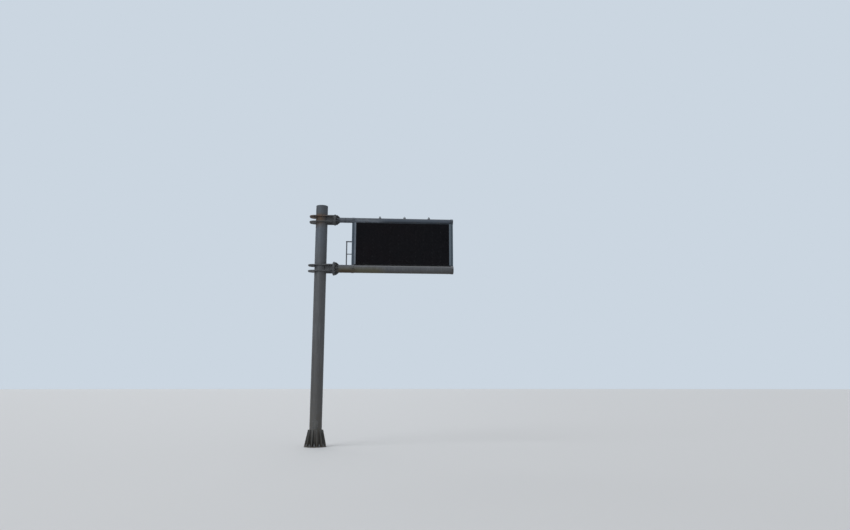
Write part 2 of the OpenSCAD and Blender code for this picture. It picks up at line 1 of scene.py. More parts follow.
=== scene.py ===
# %% [markdown]
# # A cantilever sign gantry, dressed in Blender
#
# The steelwork comes ready made from the CAD frame: pole, arms, joints, display cabinet and
# walkway. This script gives every surface its finish and adds what is fitted last: anchor
# bolts, flange bolts, weld beads, door furniture and thousands of little lamps.
# Everything is in metres. X runs along the arms, -Y is the sign's face and Z is up.

# %% Load the frame
import json
import math

import bmesh
import bpy
from mathutils import Matrix, Vector


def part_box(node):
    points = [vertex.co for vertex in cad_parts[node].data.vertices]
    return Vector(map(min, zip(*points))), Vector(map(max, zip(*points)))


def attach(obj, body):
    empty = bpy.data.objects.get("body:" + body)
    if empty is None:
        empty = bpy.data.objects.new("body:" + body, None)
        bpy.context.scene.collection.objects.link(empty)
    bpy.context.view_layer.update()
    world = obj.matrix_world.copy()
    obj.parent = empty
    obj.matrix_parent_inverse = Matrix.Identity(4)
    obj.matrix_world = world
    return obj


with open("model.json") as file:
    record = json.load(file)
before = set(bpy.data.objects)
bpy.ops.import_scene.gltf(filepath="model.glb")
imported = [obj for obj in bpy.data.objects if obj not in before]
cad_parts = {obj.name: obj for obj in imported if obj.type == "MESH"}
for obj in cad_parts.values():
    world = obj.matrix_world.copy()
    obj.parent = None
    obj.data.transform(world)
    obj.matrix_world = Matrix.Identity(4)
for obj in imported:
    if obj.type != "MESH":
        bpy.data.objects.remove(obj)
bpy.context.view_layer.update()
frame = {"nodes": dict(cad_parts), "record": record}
nodes = frame["nodes"]
scene = bpy.context.scene

# %% [markdown]
# ## Camera
# The photograph was taken from about 24 m away, with the lens about 2 m above the ground
# and tipped upwards. A camera is aimed by its rotation: 90 degrees about X looks at the
# horizon, and what goes beyond that is the tip. Only the width of the sensor is fixed,
# so the picture keeps the photograph's framing at 850 by 530 pixels.

# %% Set up the camera
CAMERA_PLACE = (2.09, -24.2, 2.07)
CAMERA_TIP = math.radians(100.6)
CAMERA_TURN = math.radians(-4.3)
PHOTO_WIDTH = 850
FOCAL_PIXELS = 654
SENSOR_WIDTH = 36.0
VIEW_DEPTH = 2000.0

camera = bpy.data.objects.new("camera", bpy.data.cameras.new("camera"))
camera.location = CAMERA_PLACE
camera.rotation_euler = (CAMERA_TIP, 0.0, CAMERA_TURN)
camera.data.sensor_fit = "HORIZONTAL"
camera.data.sensor_width = SENSOR_WIDTH
camera.data.lens = FOCAL_PIXELS / PHOTO_WIDTH * SENSOR_WIDTH
camera.data.clip_end = VIEW_DEPTH
scene.collection.objects.link(camera)
scene.camera = camera
scene.view_settings.view_transform = "Standard"
print(f"lens {camera.data.lens:.2f} mm")

# %% [markdown]
# ## Adding shader nodes without losing the thread
# A material in Blender is a small graph. Written out in full, each node takes five lines
# and the idea drowns, so two helpers do the wiring: `node` adds one and fills its inputs,
# and `mixed` lays one colour over another. An input may be a number, a colour or the
# output of a node made earlier.

# %% Helpers for shader graphs
def linear(red, green, blue):
    """A colour as a paint chart gives it, 0 to 255, turned into the linear values of a shader."""
    def channel(value):
        value /= 255
        return value / 12.92 if value <= 0.04045 else ((value + 0.055) / 1.055) ** 2.4
    return (channel(red), channel(green), channel(blue), 1.0)


def fill(tree, socket, value):
    """Links an input to a node's output, or else sets it to a plain value."""
    if isinstance(value, bpy.types.NodeSocket):
        tree.links.new(value, socket)
    else:
        socket.default_value = value


def node(tree, kind, inputs=None, **settings):
    """Adds a shader node with its settings and inputs."""
    made = tree.nodes.new("ShaderNode" + kind)
    for name, value in settings.items():
        setattr(made, name, value)
    for name, value in (inputs or {}).items():
        fill(tree, made.inputs[name], value)
    return made


def mixed(tree, amount, under, over):
    """Lays one colour over another by an amount from 0 to 1."""
    made = tree.nodes.new("ShaderNodeMix")
    made.data_type = "RGBA"
    fill(tree, made.inputs[0], amount)
    fill(tree, made.inputs[6], under)
    fill(tree, made.inputs[7], over)
    return made.outputs[2]


def between(tree, value, low, high, top):
    """Brings a value to 0 at low and to top at high, or the other way round where low is greater."""
    return node(tree, "MapRange", {"Value": value, "From Min": low, "From Max": high,
                                   "To Min": 0.0, "To Max": top}).outputs["Result"]


def times(tree, first, second):
    """Multiplies two masks, so that both have to be there."""
    made = tree.nodes.new("ShaderNodeMath")
    made.operation = "MULTIPLY"
    fill(tree, made.inputs[0], first)
    fill(tree, made.inputs[1], second)
    return made.outputs[0]


print("shader helpers ready")

# %% [markdown]
# ## Patterns that all finishes share
# Zinc, paint and dirt all vary in the same few ways. Cloudy patches come from soft noise.
# Rain leaves upright streaks, which are the same noise with the pattern stretched along Z.
# Zinc crystals, or spangle, are Voronoi cells about 12 mm wide. All of them read Object
# coordinates, so a pattern runs on from one piece of steel to the next in real metres.
# Edges are painted lighter, partly as wear and partly as a painted highlight where they
# catch the light. The Bevel node gives the normal that an edge would have if it were
# rounded, and where that leaves the face's own normal, there is an edge.

# %% Pattern helpers
EDGE_STARTS = 0.99
EDGE_FULL = 0.85


class Finish:
    """A new material with its shader, and the patterns that its colour is built from."""

    def __init__(self, name, metallic, specular=0.5):
        self.material = bpy.data.materials.new(name)
        self.material.use_nodes = True
        self.tree = self.material.node_tree
        self.shader = self.tree.nodes["Principled BSDF"]
        self.shader.inputs["Metallic"].default_value = metallic
        self.shader.inputs["Specular IOR Level"].default_value = specular
        self.place = node(self.tree, "TexCoord").outputs["Object"]
        parts = node(self.tree, "SeparateXYZ", {"Vector": self.place})
        self.x, self.y, self.z = (parts.outputs[axis] for axis in "XYZ")
        self.facing = node(self.tree, "NewGeometry").outputs["Normal"]
        self.up = node(self.tree, "SeparateXYZ", {"Vector": self.facing}).outputs["Z"]

    def cloud(self, scale, low=0.35, high=0.65, stretch=(1.0, 1.0, 1.0), detail=4.0, top=1.0):
        """Soft noise between two levels; a stretch under 1 draws it out along that axis."""
        moved = node(self.tree, "Mapping", {"Vector": self.place, "Scale": stretch})
        noise = node(self.tree, "TexNoise", {"Vector": moved.outputs["Vector"], "Scale": scale,
                                             "Detail": detail, "Roughness": 0.6})
        return between(self.tree, noise.outputs["Fac"], low, high, top)

    def streaks(self, scale, low, high, top):
        """Upright rain streaks."""
        return self.cloud(scale, low, high, stretch=(1.0, 1.0, 0.05), detail=3.0, top=top)

    def spangle(self, scale=80.0, top=1.0):
        """Zinc crystals: cells that each have a tone of their own."""
        cells = node(self.tree, "TexVoronoi", {"Vector": self.place, "Scale": scale})
        tone = node(self.tree, "SeparateColor", {"Color": cells.outputs["Color"]}).outputs["Red"]
        return between(self.tree, tone, 0.0, 1.0, top)

    def edges(self, reach, top):
        """A strip along each edge, about as wide as its reach."""
        rounded = node(self.tree, "Bevel", {"Radius": reach}, samples=4).outputs["Normal"]
        same = node(self.tree, "VectorMath", operation="DOT_PRODUCT")
        fill(self.tree, same.inputs[0], rounded)
        fill(self.tree, same.inputs[1], self.facing)
        return between(self.tree, same.outputs["Value"], EDGE_STARTS, EDGE_FULL, top)

    def over(self, under, amount, color):
        """A further colour on top of those before."""
        return mixed(self.tree, amount, under, color)

    def meet(self, *masks):
        """Where all the masks meet."""
        product = masks[0]
        for mask in masks[1:]:
            product = times(self.tree, product, mask)
        return product

    def band(self, value, low, high, top=1.0):
        """A mask that fades in from low to high."""
        return between(self.tree, value, low, high, top)

    def level(self, mask, low, high):
        """A level, such as a roughness, that goes from low to high as a mask goes from 0 to 1."""
        return node(self.tree, "MapRange", {"Value": mask, "To Min": low, "To Max": high}).outputs["Result"]

    def paint(self, color, rough, bump=None, depth=0.0):
        """Sends the finished colour, roughness and bump to the shader."""
        fill(self.tree, self.shader.inputs["Base Color"], color)
        fill(self.tree, self.shader.inputs["Roughness"], rough)
        if bump is not None:
            relief = node(self.tree, "Bump", {"Height": bump, "Distance": depth, "Strength": 1.0})
            self.tree.links.new(relief.outputs["Normal"], self.shader.inputs["Normal"])
        return self.material


print("pattern helpers ready")

# %% [markdown]
# ## Galvanised pipe
# The pole, the arms and the clamps round them are hot-dip galvanised. Up high the zinc picks
# up a cool tone, and from the lower arm down it is a plain warm grey. On top of that tone lie
# crystals of two sizes, cloudy patches, pale and dark rain streaks, and small pale specks.
# Each is a mask and a colour, laid over the one before.

# %% Galvanised pipe
COOL_TONE = (6.3, 7.6)


def zinc_skin(zinc):
    """The zinc itself, before the weather has marked it."""
    tone = zinc.band(zinc.z, *COOL_TONE)
    color = zinc.over(linear(84, 84, 85), tone, linear(84, 92, 102))
    color = zinc.over(color, zinc.spangle(top=0.5), linear(93, 95, 99))
    color = zinc.over(color, zinc.spangle(150.0, top=0.3), linear(76, 78, 81))
    color = zinc.over(color, zinc.cloud(1.3, 0.40, 0.72, top=0.45), linear(68, 69, 71))
    color = zinc.over(color, zinc.streaks(16.0, 0.50, 0.70, top=0.40), linear(110, 112, 114))
    color = zinc.over(color, zinc.streaks(9.0, 0.56, 0.72, top=0.50), linear(54, 54, 54))
    color = zinc.over(color, zinc.streaks(70.0, 0.60, 0.68, top=0.35), linear(118, 120, 121))
    return zinc.over(color, zinc.cloud(34.0, 0.64, 0.70, top=0.45), linear(126, 128, 128))


print("zinc layers ready")

# %% [markdown]
# ## Weather on the arms
# Dust lightens what faces up. The top of the lower arm beside the sign is painted lighter
# still, as painted light where the sign's shade falls. The upper arm's underside is painted
# lighter towards the pole, as painted light that lifts its shade, and the arm is duller towards
# its free end. The lower arm's underside keeps an olive grime that rain never reaches, browner
# towards the pole. Where a zone lies is a pair of places, in metres, between which its mask
# fades in, so turning the pair round gives the other side.

# %% Weather on the arms
UPPER_ZONE = (7.2, 7.6)
LOWER_ZONE = (7.2, 6.8)
PAST_FLANGE = (0.5, 0.8)
BESIDE_SIGN = (1.1, 1.3)
NEAR_POLE = (1.45, 1.15)
NEAR_HALF = (2.5, 2.1)
FAR_HALF = (2.1, 2.5)


def arm_weather(zinc, color):
    high = zinc.band(zinc.z, *UPPER_ZONE)
    low = zinc.meet(zinc.band(zinc.z, *LOWER_ZONE), zinc.cloud(3.0, 0.15, 0.5))
    settled = zinc.meet(zinc.band(zinc.up, 0.35, 0.95, top=0.55), zinc.cloud(4.0, 0.2, 0.6))
    color = zinc.over(color, settled, linear(107, 110, 115))
    # Painted light: the upper arm's underside is lightened towards the pole, so that it doesn't lie in
    # shade.
    painted_underside_light = zinc.meet(zinc.band(zinc.up, 0.1, -0.5, top=0.85), zinc.band(zinc.x, *NEAR_HALF),
                      zinc.band(zinc.x, *BESIDE_SIGN), high)
    color = zinc.over(color, painted_underside_light, linear(126, 133, 143))
    duller = zinc.meet(zinc.band(zinc.up, 0.75, 0.3, top=0.8), zinc.band(zinc.x, *FAR_HALF), high)
    color = zinc.over(color, duller, linear(70, 78, 89))
    grime = zinc.meet(zinc.band(zinc.up, -0.45, -0.95, top=0.75), low)
    color = zinc.over(color, grime, linear(72, 69, 62))
    olive = zinc.meet(zinc.band(zinc.up, 0.6, -0.5, top=0.85), zinc.band(zinc.x, *NEAR_HALF), low,
                      zinc.band(zinc.x, *PAST_FLANGE))
    color = zinc.over(color, olive, linear(89, 86, 68))
    brown = zinc.meet(zinc.band(zinc.up, -0.1, -0.7, top=0.9), zinc.band(zinc.x, *NEAR_POLE), low,
                      zinc.band(zinc.x, *PAST_FLANGE))
    color = zinc.over(color, brown, linear(72, 58, 43))
    # Painted light: the top of the lower arm beside the sign is lightened where the sign's shade falls on
    # it.
    painted_light_under_sign = zinc.meet(zinc.band(zinc.up, 0.45, 0.8, top=0.9), zinc.band(zinc.z, *LOWER_ZONE),
                          zinc.band(zinc.x, *BESIDE_SIGN))
    return zinc.over(color, painted_light_under_sign, linear(138, 138, 140))


print("weather of the arms ready")

# %% [markdown]
# ## Weather on the pole
# Dust lies on the pole's lower half, and rain has splashed mud up its foot. Over the upper
# joint the zinc is duller, and between the two upper collars lies a brown stain, whose place
# comes from the collars' own boxes. Roughness and bump follow the crystals, so that each
# catches the light in its own way.

# %% Weather on the pole and the finished pipe
DUST_RISE = (4.2, 1.0)
SPLASH_RISE = (1.2, 0.1)
STAIN_SIDE = (0.26, 0.02)


def pole_weather(zinc, color):
    dust = zinc.meet(zinc.band(zinc.z, *DUST_RISE, top=0.75), zinc.cloud(5.0, 0.2, 0.6))
    color = zinc.over(color, dust, linear(83, 80, 75))
    splashes = zinc.meet(zinc.band(zinc.z, *SPLASH_RISE, top=0.7), zinc.cloud(7.0, 0.4, 0.6))
    color = zinc.over(color, splashes, linear(80, 74, 64))
    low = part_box("upper_collar_bottom")[0].z
    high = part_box("upper_collar_top")[1].z
    color = zinc.over(color, zinc.band(zinc.z, high, high + 0.1, top=0.6), linear(74, 77, 80))
    stain = zinc.meet(zinc.band(zinc.z, low - 0.25, low + 0.05), zinc.band(zinc.z, high + 0.12, high),
                      zinc.cloud(6.0, 0.12, 0.42, stretch=(1.0, 1.0, 0.4), top=0.95),
                      zinc.band(zinc.x, *STAIN_SIDE), zinc.cloud(30.0, 0.15, 0.48))
    brown = zinc.over(linear(72, 58, 46), zinc.cloud(14.0, stretch=(1.0, 1.0, 0.5)), linear(96, 77, 59))
    return zinc.over(color, stain, brown)


def pipe_zinc():
    zinc = Finish("pipe_zinc", metallic=0.3, specular=0.4)
    color = pole_weather(zinc, arm_weather(zinc, zinc_skin(zinc)))
    rough = zinc.level(zinc.spangle(), 0.579, 0.711)
    relief = zinc.over(zinc.spangle(), 0.6, zinc.cloud(30.0, 0.3, 0.7))
    return zinc.paint(color, rough, relief, depth=0.0006)


pipe_finish = pipe_zinc()
print("finish:", pipe_finish.name)

# %% [markdown]
# ## The foot of the pole
# The base flange, its gussets and the hand-hole cover get the splashes of every rain. The
# zinc there has weathered to a flat grey with pale lime marks and brown mud in the corners,
# so it is rougher and less metallic than the pipe above.

# %% Weathered base
MUD_RISE = (0.55, 0.0)
RUST_RISE = (0.14, 0.02)


def base_zinc():
    zinc = Finish("base_zinc", metallic=0.2)
    color = zinc.over(linear(70, 70, 69), zinc.cloud(4.0), linear(88, 88, 86))
    color = zinc.over(color, zinc.spangle(60.0, top=0.15), linear(104, 105, 105))
    color = zinc.over(color, zinc.streaks(22.0, 0.55, 0.75, top=0.45), linear(124, 123, 118))
    mud = zinc.meet(zinc.band(zinc.z, *MUD_RISE, top=0.85), zinc.cloud(9.0, 0.38, 0.62))
    color = zinc.over(color, mud, linear(84, 76, 64))
    rust = zinc.meet(zinc.band(zinc.z, *RUST_RISE, top=0.7), zinc.cloud(26.0, 0.52, 0.66))
    color = zinc.over(color, rust, linear(92, 62, 40))
    # Edges painted lighter: partly wear, partly a painted highlight.
    wear_and_highlight = zinc.meet(zinc.edges(0.004, top=0.6), zinc.cloud(18.0, 0.35, 0.6))
    color = zinc.over(color, wear_and_highlight, linear(122, 121, 117))
    return zinc.paint(color, 0.74, zinc.cloud(60.0, 0.3, 0.7), depth=0.0008)


base_finish = base_zinc()
print("finish:", base_finish.name)

# %% [markdown]
# ## Joint steel
# The collars, webs, flanges, gussets, saddles and lugs are flame-cut plate. In the
# photograph they are clearly darker than the pipes. Plate of this kind has a slightly
# mottled zinc coat and bright scuffs. The upper collar has rusted at its free end: two masks
# say where that is, two more break the rust up into patches, and its colour goes between two
# browns.

# %% Joint steel
WARM_TONE = (6.9, 8.1)
RUSTED_END = (0.35, 0.0)


def joint_steel():
    plate = Finish("joint_steel", metallic=0.35, specular=0.4)
    color = plate.over(linear(81, 82, 84), plate.cloud(5.0), linear(99, 100, 103))
    color = plate.over(color, plate.band(plate.z, *WARM_TONE, top=0.45), linear(66, 65, 63))
    color = plate.over(color, plate.spangle(60.0, top=0.3), linear(98, 100, 102))
    scuffs = plate.cloud(45.0, 0.62, 0.72, stretch=(1.0, 1.0, 0.3), top=0.5)
    color = plate.over(color, scuffs, linear(114, 116, 118))
    color = plate.over(color, plate.streaks(14.0, 0.54, 0.70, top=0.5), linear(42, 42, 41))
    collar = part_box("upper_collar_top")[0].z
    rust = plate.meet(plate.band(plate.z, collar - 0.06, collar), plate.band(plate.x, *RUSTED_END),
                      plate.cloud(7.0, 0.30, 0.52), plate.cloud(38.0, 0.22, 0.50, top=0.9))
    brown = plate.over(linear(92, 70, 56), plate.cloud(17.0, 0.38, 0.62), linear(134, 106, 86))
    color = plate.over(color, rust, brown)
    # Edges painted lighter: partly wear, partly a painted highlight.
    wear_and_highlight = plate.meet(plate.edges(0.003, top=0.6), plate.cloud(20.0, 0.4, 0.6))
    color = plate.over(color, wear_and_highlight, linear(124, 126, 128))
    rough = plate.level(plate.cloud(12.0, 0.3, 0.7), 0.514, 0.800)
    return plate.paint(color, rough, plate.cloud(40.0, 0.3, 0.7), depth=0.0006)


joint_finish = joint_steel()
print("finish:", joint_finish.name)

# %% [markdown]
# ## Painted frame and cabinet
# The sign's frame and cabinet are powder coated. Powder coat is an even colour with a fine
# orange-peel skin, so its character comes from a small bump and a roughness that varies.
# Dirt runs down from every ledge, which is the streak pattern again. One function makes all
# three coats: a dark slate for the uprights, a light grey-blue for the bezel between them
# and the display, and a plain grey for the cabinet's sheets. In the photograph the uprights
# grow lighter and the bezel darker towards the far end, so a coat may also drift in tone
# along X, and the strip of bezel under the display is as black as the display.

# %% Powder coats
SIGN_SPAN = (1.3, 4.9)
SHARP_STEP = 0.001


def powder_coat(name, light, dark, run, far=None, sill=None):
    coat = Finish(name, metallic=0.15)
    color = coat.over(dark, coat.cloud(2.2), light)
    if far:
        color = coat.over(color, coat.band(coat.x, *SIGN_SPAN), far)
    color = coat.over(color, coat.streaks(20.0, 0.52, 0.74, top=0.5), run)
    grime = coat.meet(coat.band(coat.up, -0.3, -0.9, top=0.7), coat.cloud(6.0, 0.3, 0.7))
    color = coat.over(color, grime, linear(62, 60, 56))
    dust = coat.meet(coat.band(coat.up, 0.5, 0.95, top=0.6), coat.cloud(10.0, 0.3, 0.65))
    color = coat.over(color, dust, linear(118, 116, 110))
    # Edges painted lighter: partly worn chips, partly a painted highlight.
    wear_and_highlight = coat.meet(coat.edges(0.002, top=0.6), coat.cloud(16.0, 0.45, 0.6))
    color = coat.over(color, wear_and_highlight, linear(132, 138, 144))
    if sill:
        low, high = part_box("display_face")
        below = coat.meet(coat.band(coat.z, low.z + SHARP_STEP, low.z),
                          coat.band(coat.x, low.x - SHARP_STEP, low.x),
                          coat.band(coat.x, high.x + SHARP_STEP, high.x))
        color = coat.over(color, below, sill)
    rough = coat.level(coat.cloud(15.0, 0.3, 0.7), 0.500, 0.778)
    return coat.paint(color, rough, coat.cloud(220.0, 0.3, 0.7, detail=1.0), depth=0.0003)


upright_finish = powder_coat("upright_paint", linear(71, 83, 94), linear(61, 74, 86), linear(50, 58, 66),
                             far=linear(84, 97, 107))
frame_finish = powder_coat("frame_paint", linear(108, 116, 126), linear(93, 101, 111), linear(76, 83, 91),
                           far=linear(86, 97, 106), sill=linear(24, 24, 28))
sheet_finish = powder_coat("cabinet_sheet", linear(100, 106, 113), linear(86, 92, 99), linear(68, 72, 78))
print("finishes:", upright_finish.name, frame_finish.name, sheet_finish.name)

# %% [markdown]
# ## The black display
# Display modules are moulded black plastic. No two batches are quite the same black, so
# each module gets its own tone from a Voronoi pattern laid out square: with a randomness
# of 0 the cells stand on a grid, and the pattern is scaled so that one cell is one module.
# A matt face like this swallows light, so it reflects far less than the usual plastic. Dust
# lies on whatever faces up, such as the little shades over the lamps.

# %% Display plastic
MODULE_WIDTH = 0.320
MODULE_HEIGHT = 0.160


def display_black():
    face_low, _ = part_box("display_face")
    plastic = Finish("display_black", metallic=0.0, specular=0.08)
    corner = (-face_low.x / MODULE_WIDTH + 0.5, 0.0, -face_low.z / MODULE_HEIGHT + 0.5)
    grid = node(plastic.tree, "Mapping", {"Vector": plastic.place, "Location": corner,
                                          "Scale": (1 / MODULE_WIDTH, 0.0, 1 / MODULE_HEIGHT)})
    cells = node(plastic.tree, "TexVoronoi", {"Vector": grid.outputs["Vector"], "Scale": 1.0,
                                              "Randomness": 0.0})
    tone = node(plastic.tree, "SeparateColor", {"Color": cells.outputs["Color"]}).outputs["Red"]
    color = plastic.over(linear(19, 19, 23), tone, linear(25, 25, 29))
    color = plastic.over(color, plastic.cloud(0.8, 0.45, 0.65, top=0.7), linear(27, 23, 26))
    color = plastic.over(color, plastic.streaks(30.0, 0.50, 0.75, top=0.3), linear(34, 33, 35))
    dust = plastic.meet(plastic.band(plastic.up, 0.3, 0.9, top=0.5), plastic.cloud(14.0, 0.3, 0.7))
    color = plastic.over(color, dust, linear(48, 46, 45))
    rough = plastic.level(tone, 0.577, 0.769)
    return plastic.paint(color, rough, plastic.cloud(400.0, 0.3, 0.7, detail=1.0), depth=0.0002)


display_finish = display_black()
print("finish:", display_finish.name)

# %% [markdown]
# ## Walkway zinc
# Gratings and handrails are galvanised too, but they are thinner and brighter than the big
# pipes, and use keeps them clean. The spangle is finer here.

# %% Walkway zinc
def walkway_zinc():
    zinc = Finish("walkway_zinc", metallic=0.45)
    color = zinc.over(linear(92, 96, 101), zinc.cloud(3.5), linear(114, 118, 123))
    color = zinc.over(color, zinc.spangle(140.0, top=0.3), linear(140, 144, 149))
    color = zinc.over(color, zinc.streaks(25.0, 0.55, 0.75, top=0.5), linear(74, 75, 76))
    grime = zinc.meet(zinc.band(zinc.up, -0.3, -0.9, top=0.6), zinc.cloud(8.0, 0.3, 0.7))
    color = zinc.over(color, grime, linear(78, 72, 62))
    # Edges painted lighter: partly wear, partly a painted highlight.
    wear_and_highlight = zinc.meet(zinc.edges(0.002, top=0.6), zinc.cloud(24.0, 0.4, 0.6))
    color = zinc.over(color, wear_and_highlight, linear(160, 163, 166))
    rough = zinc.level(zinc.cloud(20.0, 0.3, 0.7), 0.444, 0.722)
    return zinc.paint(color, rough, zinc.cloud(90.0, 0.3, 0.7), depth=0.0004)


walkway_finish = walkway_zinc()
print("finish:", walkway_finish.name)

# %% [markdown]
# ## Small finishes
# Bolts are brighter than the plates they hold, because their zinc is thin and smooth, and
# they rust more the lower they are. Weld beads are dull, with a faint heat tint that changes
# along the run. Door seals are rubber, and the lamps are black glassy resin that catches the
# light.

# %% Bolts, welds, rubber and resin
RUST_FADES = (9.5, -2.0)


def bolt_zinc():
    zinc = Finish("bolt_zinc", metallic=0.7)
    color = zinc.over(linear(104, 106, 108), zinc.cloud(40.0), linear(136, 138, 140))
    rust = zinc.meet(zinc.cloud(60.0, 0.56, 0.66, top=0.7), zinc.band(zinc.z, *RUST_FADES))
    color = zinc.over(color, rust, linear(96, 66, 44))
    return zinc.paint(color, zinc.level(zinc.cloud(90.0, 0.3, 0.7), 0.429, 0.714))


def weld_metal():
    bead = Finish("weld_metal", metallic=0.4)
    color = bead.over(linear(70, 71, 73), bead.cloud(35.0), linear(98, 98, 98))
    color = bead.over(color, bead.cloud(18.0, 0.50, 0.62, top=0.5), linear(84, 74, 62))
    return bead.paint(color, 0.62, bead.cloud(300.0, 0.3, 0.7, detail=1.0), depth=0.0004)


def seal_rubber():
    rubber = Finish("seal_rubber", metallic=0.0)
    color = rubber.over(linear(24, 24, 25), rubber.cloud(30.0), linear(40, 40, 41))
    return rubber.paint(color, 0.85, rubber.cloud(500.0, 0.3, 0.7, detail=1.0), depth=0.0003)


def lamp_resin():
    resin = Finish("lamp_resin", metallic=0.0, specular=0.2)
    color = resin.over(linear(18, 18, 22), resin.cloud(3.0), linear(26, 26, 31))
    return resin.paint(color, resin.level(resin.cloud(9.0, 0.3, 0.7), 0.194, 0.355))


bolt_finish = bolt_zinc()
weld_finish = weld_metal()
rubber_finish = seal_rubber()
resin_finish = lamp_resin()
print("finishes:", bolt_finish.name, weld_finish.name, rubber_finish.name, resin_finish.name)

# %% [markdown]
# ## Finishing the steelwork
# The CAD pieces keep their meshes, and only what sits in their material slots is changed.
# The record says which slot each piece belongs to, so one short table of finishes covers
# all of them.

# %% Give every CAD piece its finish
FINISHES = {"pipe_zinc": pipe_finish, "base_zinc": base_finish, "joint_steel": joint_finish,
            "upright_paint": upright_finish, "frame_paint": frame_finish,
            "cabinet_sheet": sheet_finish, "display_black": display_finish,
            "walkway_zinc": walkway_finish}

for part in frame["record"]["subparts"]:
    for place in nodes[part["node"]].material_slots:
        place.material = FINISHES[part["material_slot"]]

# %% [markdown]
# ## Helpers for modelling
# Every new piece starts as a bmesh, Blender's editable mesh. A rod, a block and a turned
# shape cover most fittings. A sharp edge looks like paper, so rods and blocks have their
# edges eased by a small bevel in two steps.

# %% Rods, blocks and turned shapes
UP = Vector((0.0, 0.0, 1.0))
WHOLE_TURN = 2 * math.pi
HALF_TURN = math.pi
QUARTER_TURN = math.pi / 2


def pointing(direction):
    """The turn that lays a shape's Z axis along a direction."""
    return direction.to_track_quat("Z", "Y").to_matrix().to_4x4()


def ease(bm, edges, width):
    bmesh.ops.bevel(bm, geom=edges, offset=width, offset_type="OFFSET", affect="EDGES",
                    segments=2, profile=0.5, material=-1)


def rod(bm, start, end, radius, sides, round_off=0.0):
    """A straight bar between two points. With 6 sides it is a hexagon, as on a bolt's head."""
    start, end = Vector(start), Vector(end)
    lie = Matrix.Translation((start + end) / 2) @ pointing(end - start)
    made = bmesh.ops.create_cone(bm, cap_ends=True, segments=sides, radius1=radius, radius2=radius,
                                 depth=(end - start).length, matrix=lie)
    if round_off:
        caps = {face for vert in made["verts"] for face in vert.link_faces if len(face.verts) == sides}
        ease(bm, list({edge for face in caps for edge in face.edges}), round_off)


def block(bm, low, high, round_off):
    """A box between two corners, with its edges rounded off."""
    low, high = Vector(low), Vector(high)
    stretch = Matrix.Diagonal((*(high - low), 1.0))
    made = bmesh.ops.create_cube(bm, size=1.0, matrix=Matrix.Translation((low + high) / 2) @ stretch)
    ease(bm, list({edge for vert in made["verts"] for edge in vert.link_edges}), round_off)


def shape(bm):
    """Finishes a bmesh as a mesh that can be stamped."""
    bmesh.ops.recalc_face_normals(bm, faces=bm.faces)
    mesh = bpy.data.meshes.new("shape")
    bm.to_mesh(mesh)
    bm.free()
    return mesh


def turned(profile, steps):
    """A mesh spun round Z from an outline of radius and height that starts and ends on the axis."""
    bm = bmesh.new()
    verts = [bm.verts.new((radius, 0.0, height)) for radius, height in profile]
    edges = [bm.edges.new(pair) for pair in zip(verts, verts[1:])]
    bmesh.ops.spin(bm, geom=verts + edges, cent=(0, 0, 0), axis=UP, dvec=(0, 0, 0),
                   angle=WHOLE_TURN, steps=steps, use_merge=True, use_duplicate=False)
    bmesh.ops.remove_doubles(bm, verts=bm.verts, dist=1e-6)
    return shape(bm)


print("rods, blocks and turned shapes ready")

# %% [markdown]
# ## From small shapes to finished pieces
# Small fittings that repeat are made once as a mesh, and then stamped into a bigger bmesh
# with a matrix that says where each one goes. That keeps the number of objects small, and a
# whole ring of bolts is one piece. Where hundreds stand in even rows, a spin through no angle
# is quicker: it moves each copy on by one step.

# %% Stamps, rows and pieces
def at(place, turn=0.0, axis="Z"):
    """A matrix that turns a stamp about an axis and then moves it to its place."""
    return Matrix.Translation(Vector(place)) @ Matrix.Rotation(turn, 4, axis)


def stamp(bm, mesh, matrix):
    """Adds a copy of a small mesh where the matrix puts it."""
    copy = mesh.copy()
    copy.transform(matrix)
    bm.from_mesh(copy)
    bpy.data.meshes.remove(copy)


def row(bm, step, count):
    """Repeats all that is there so far in a row."""
    bmesh.ops.spin(bm, geom=bm.verts[:] + bm.edges[:] + bm.faces[:], cent=(0, 0, 0), axis=UP,
                   dvec=step, angle=0.0, steps=count - 1, use_merge=False, use_duplicate=True)


def piece(name, bm, material, crease=35):
    """Makes the finished object, smooth up to a crease, and lets it ride on the frame."""
    mesh = shape(bm)
    mesh.name = name
    mesh.materials.append(material)
    mesh.shade_smooth()
    mesh.set_sharp_from_angle(angle=math.radians(crease))
    made = bpy.data.objects.new(name, mesh)
    scene.collection.objects.link(made)
    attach(made, "root")
    print(f"{name}: {sum(len(face.vertices) - 2 for face in mesh.polygons)} triangles")


print("modelling helpers ready")

# %% [markdown]
# ## Bolts
# Metric bolts follow fixed proportions: the hexagon is 1.5 diameters across its flats, the
# head about 0.65 and the nut 0.85 of a diameter high, and the washer 1.85 diameters wide. One
# function makes every size from such shares of the diameter. The thread is a zigzag outline
# spun round the axis, which gives rings and not a true helix, but at a pitch of 1 to 4 mm
# that doesn't show.

# %% Bolts, nuts and studs
ACROSS_FLATS = 1.5
HEAD_HEIGHT = 0.65
NUT_HEIGHT = 0.85
WASHER_WIDTH = 1.85
WASHER_THICKNESS = 0.17
THREAD_ROOT = 0.44
THREAD_CREST = 0.50
THREAD_END = 0.40
THREAD_TIP = 0.05
THREAD_PITCH = 0.12
THREAD_IN_NUT = 0.1
BOLT_STUB = 0.35


def hexagon(bm, size, low, high):
    """A bolt's head or nut along Z, with its corners eased."""
    rod(bm, (0, 0, low), (0, 0, high), size * ACROSS_FLATS / math.sqrt(3), sides=6, round_off=0.05 * size)


def washer(bm, size, low):
    rod(bm, (0, 0, low), (0, 0, low + WASHER_THICKNESS * size), size * WASHER_WIDTH / 2, sides=20,
        round_off=0.03 * size)


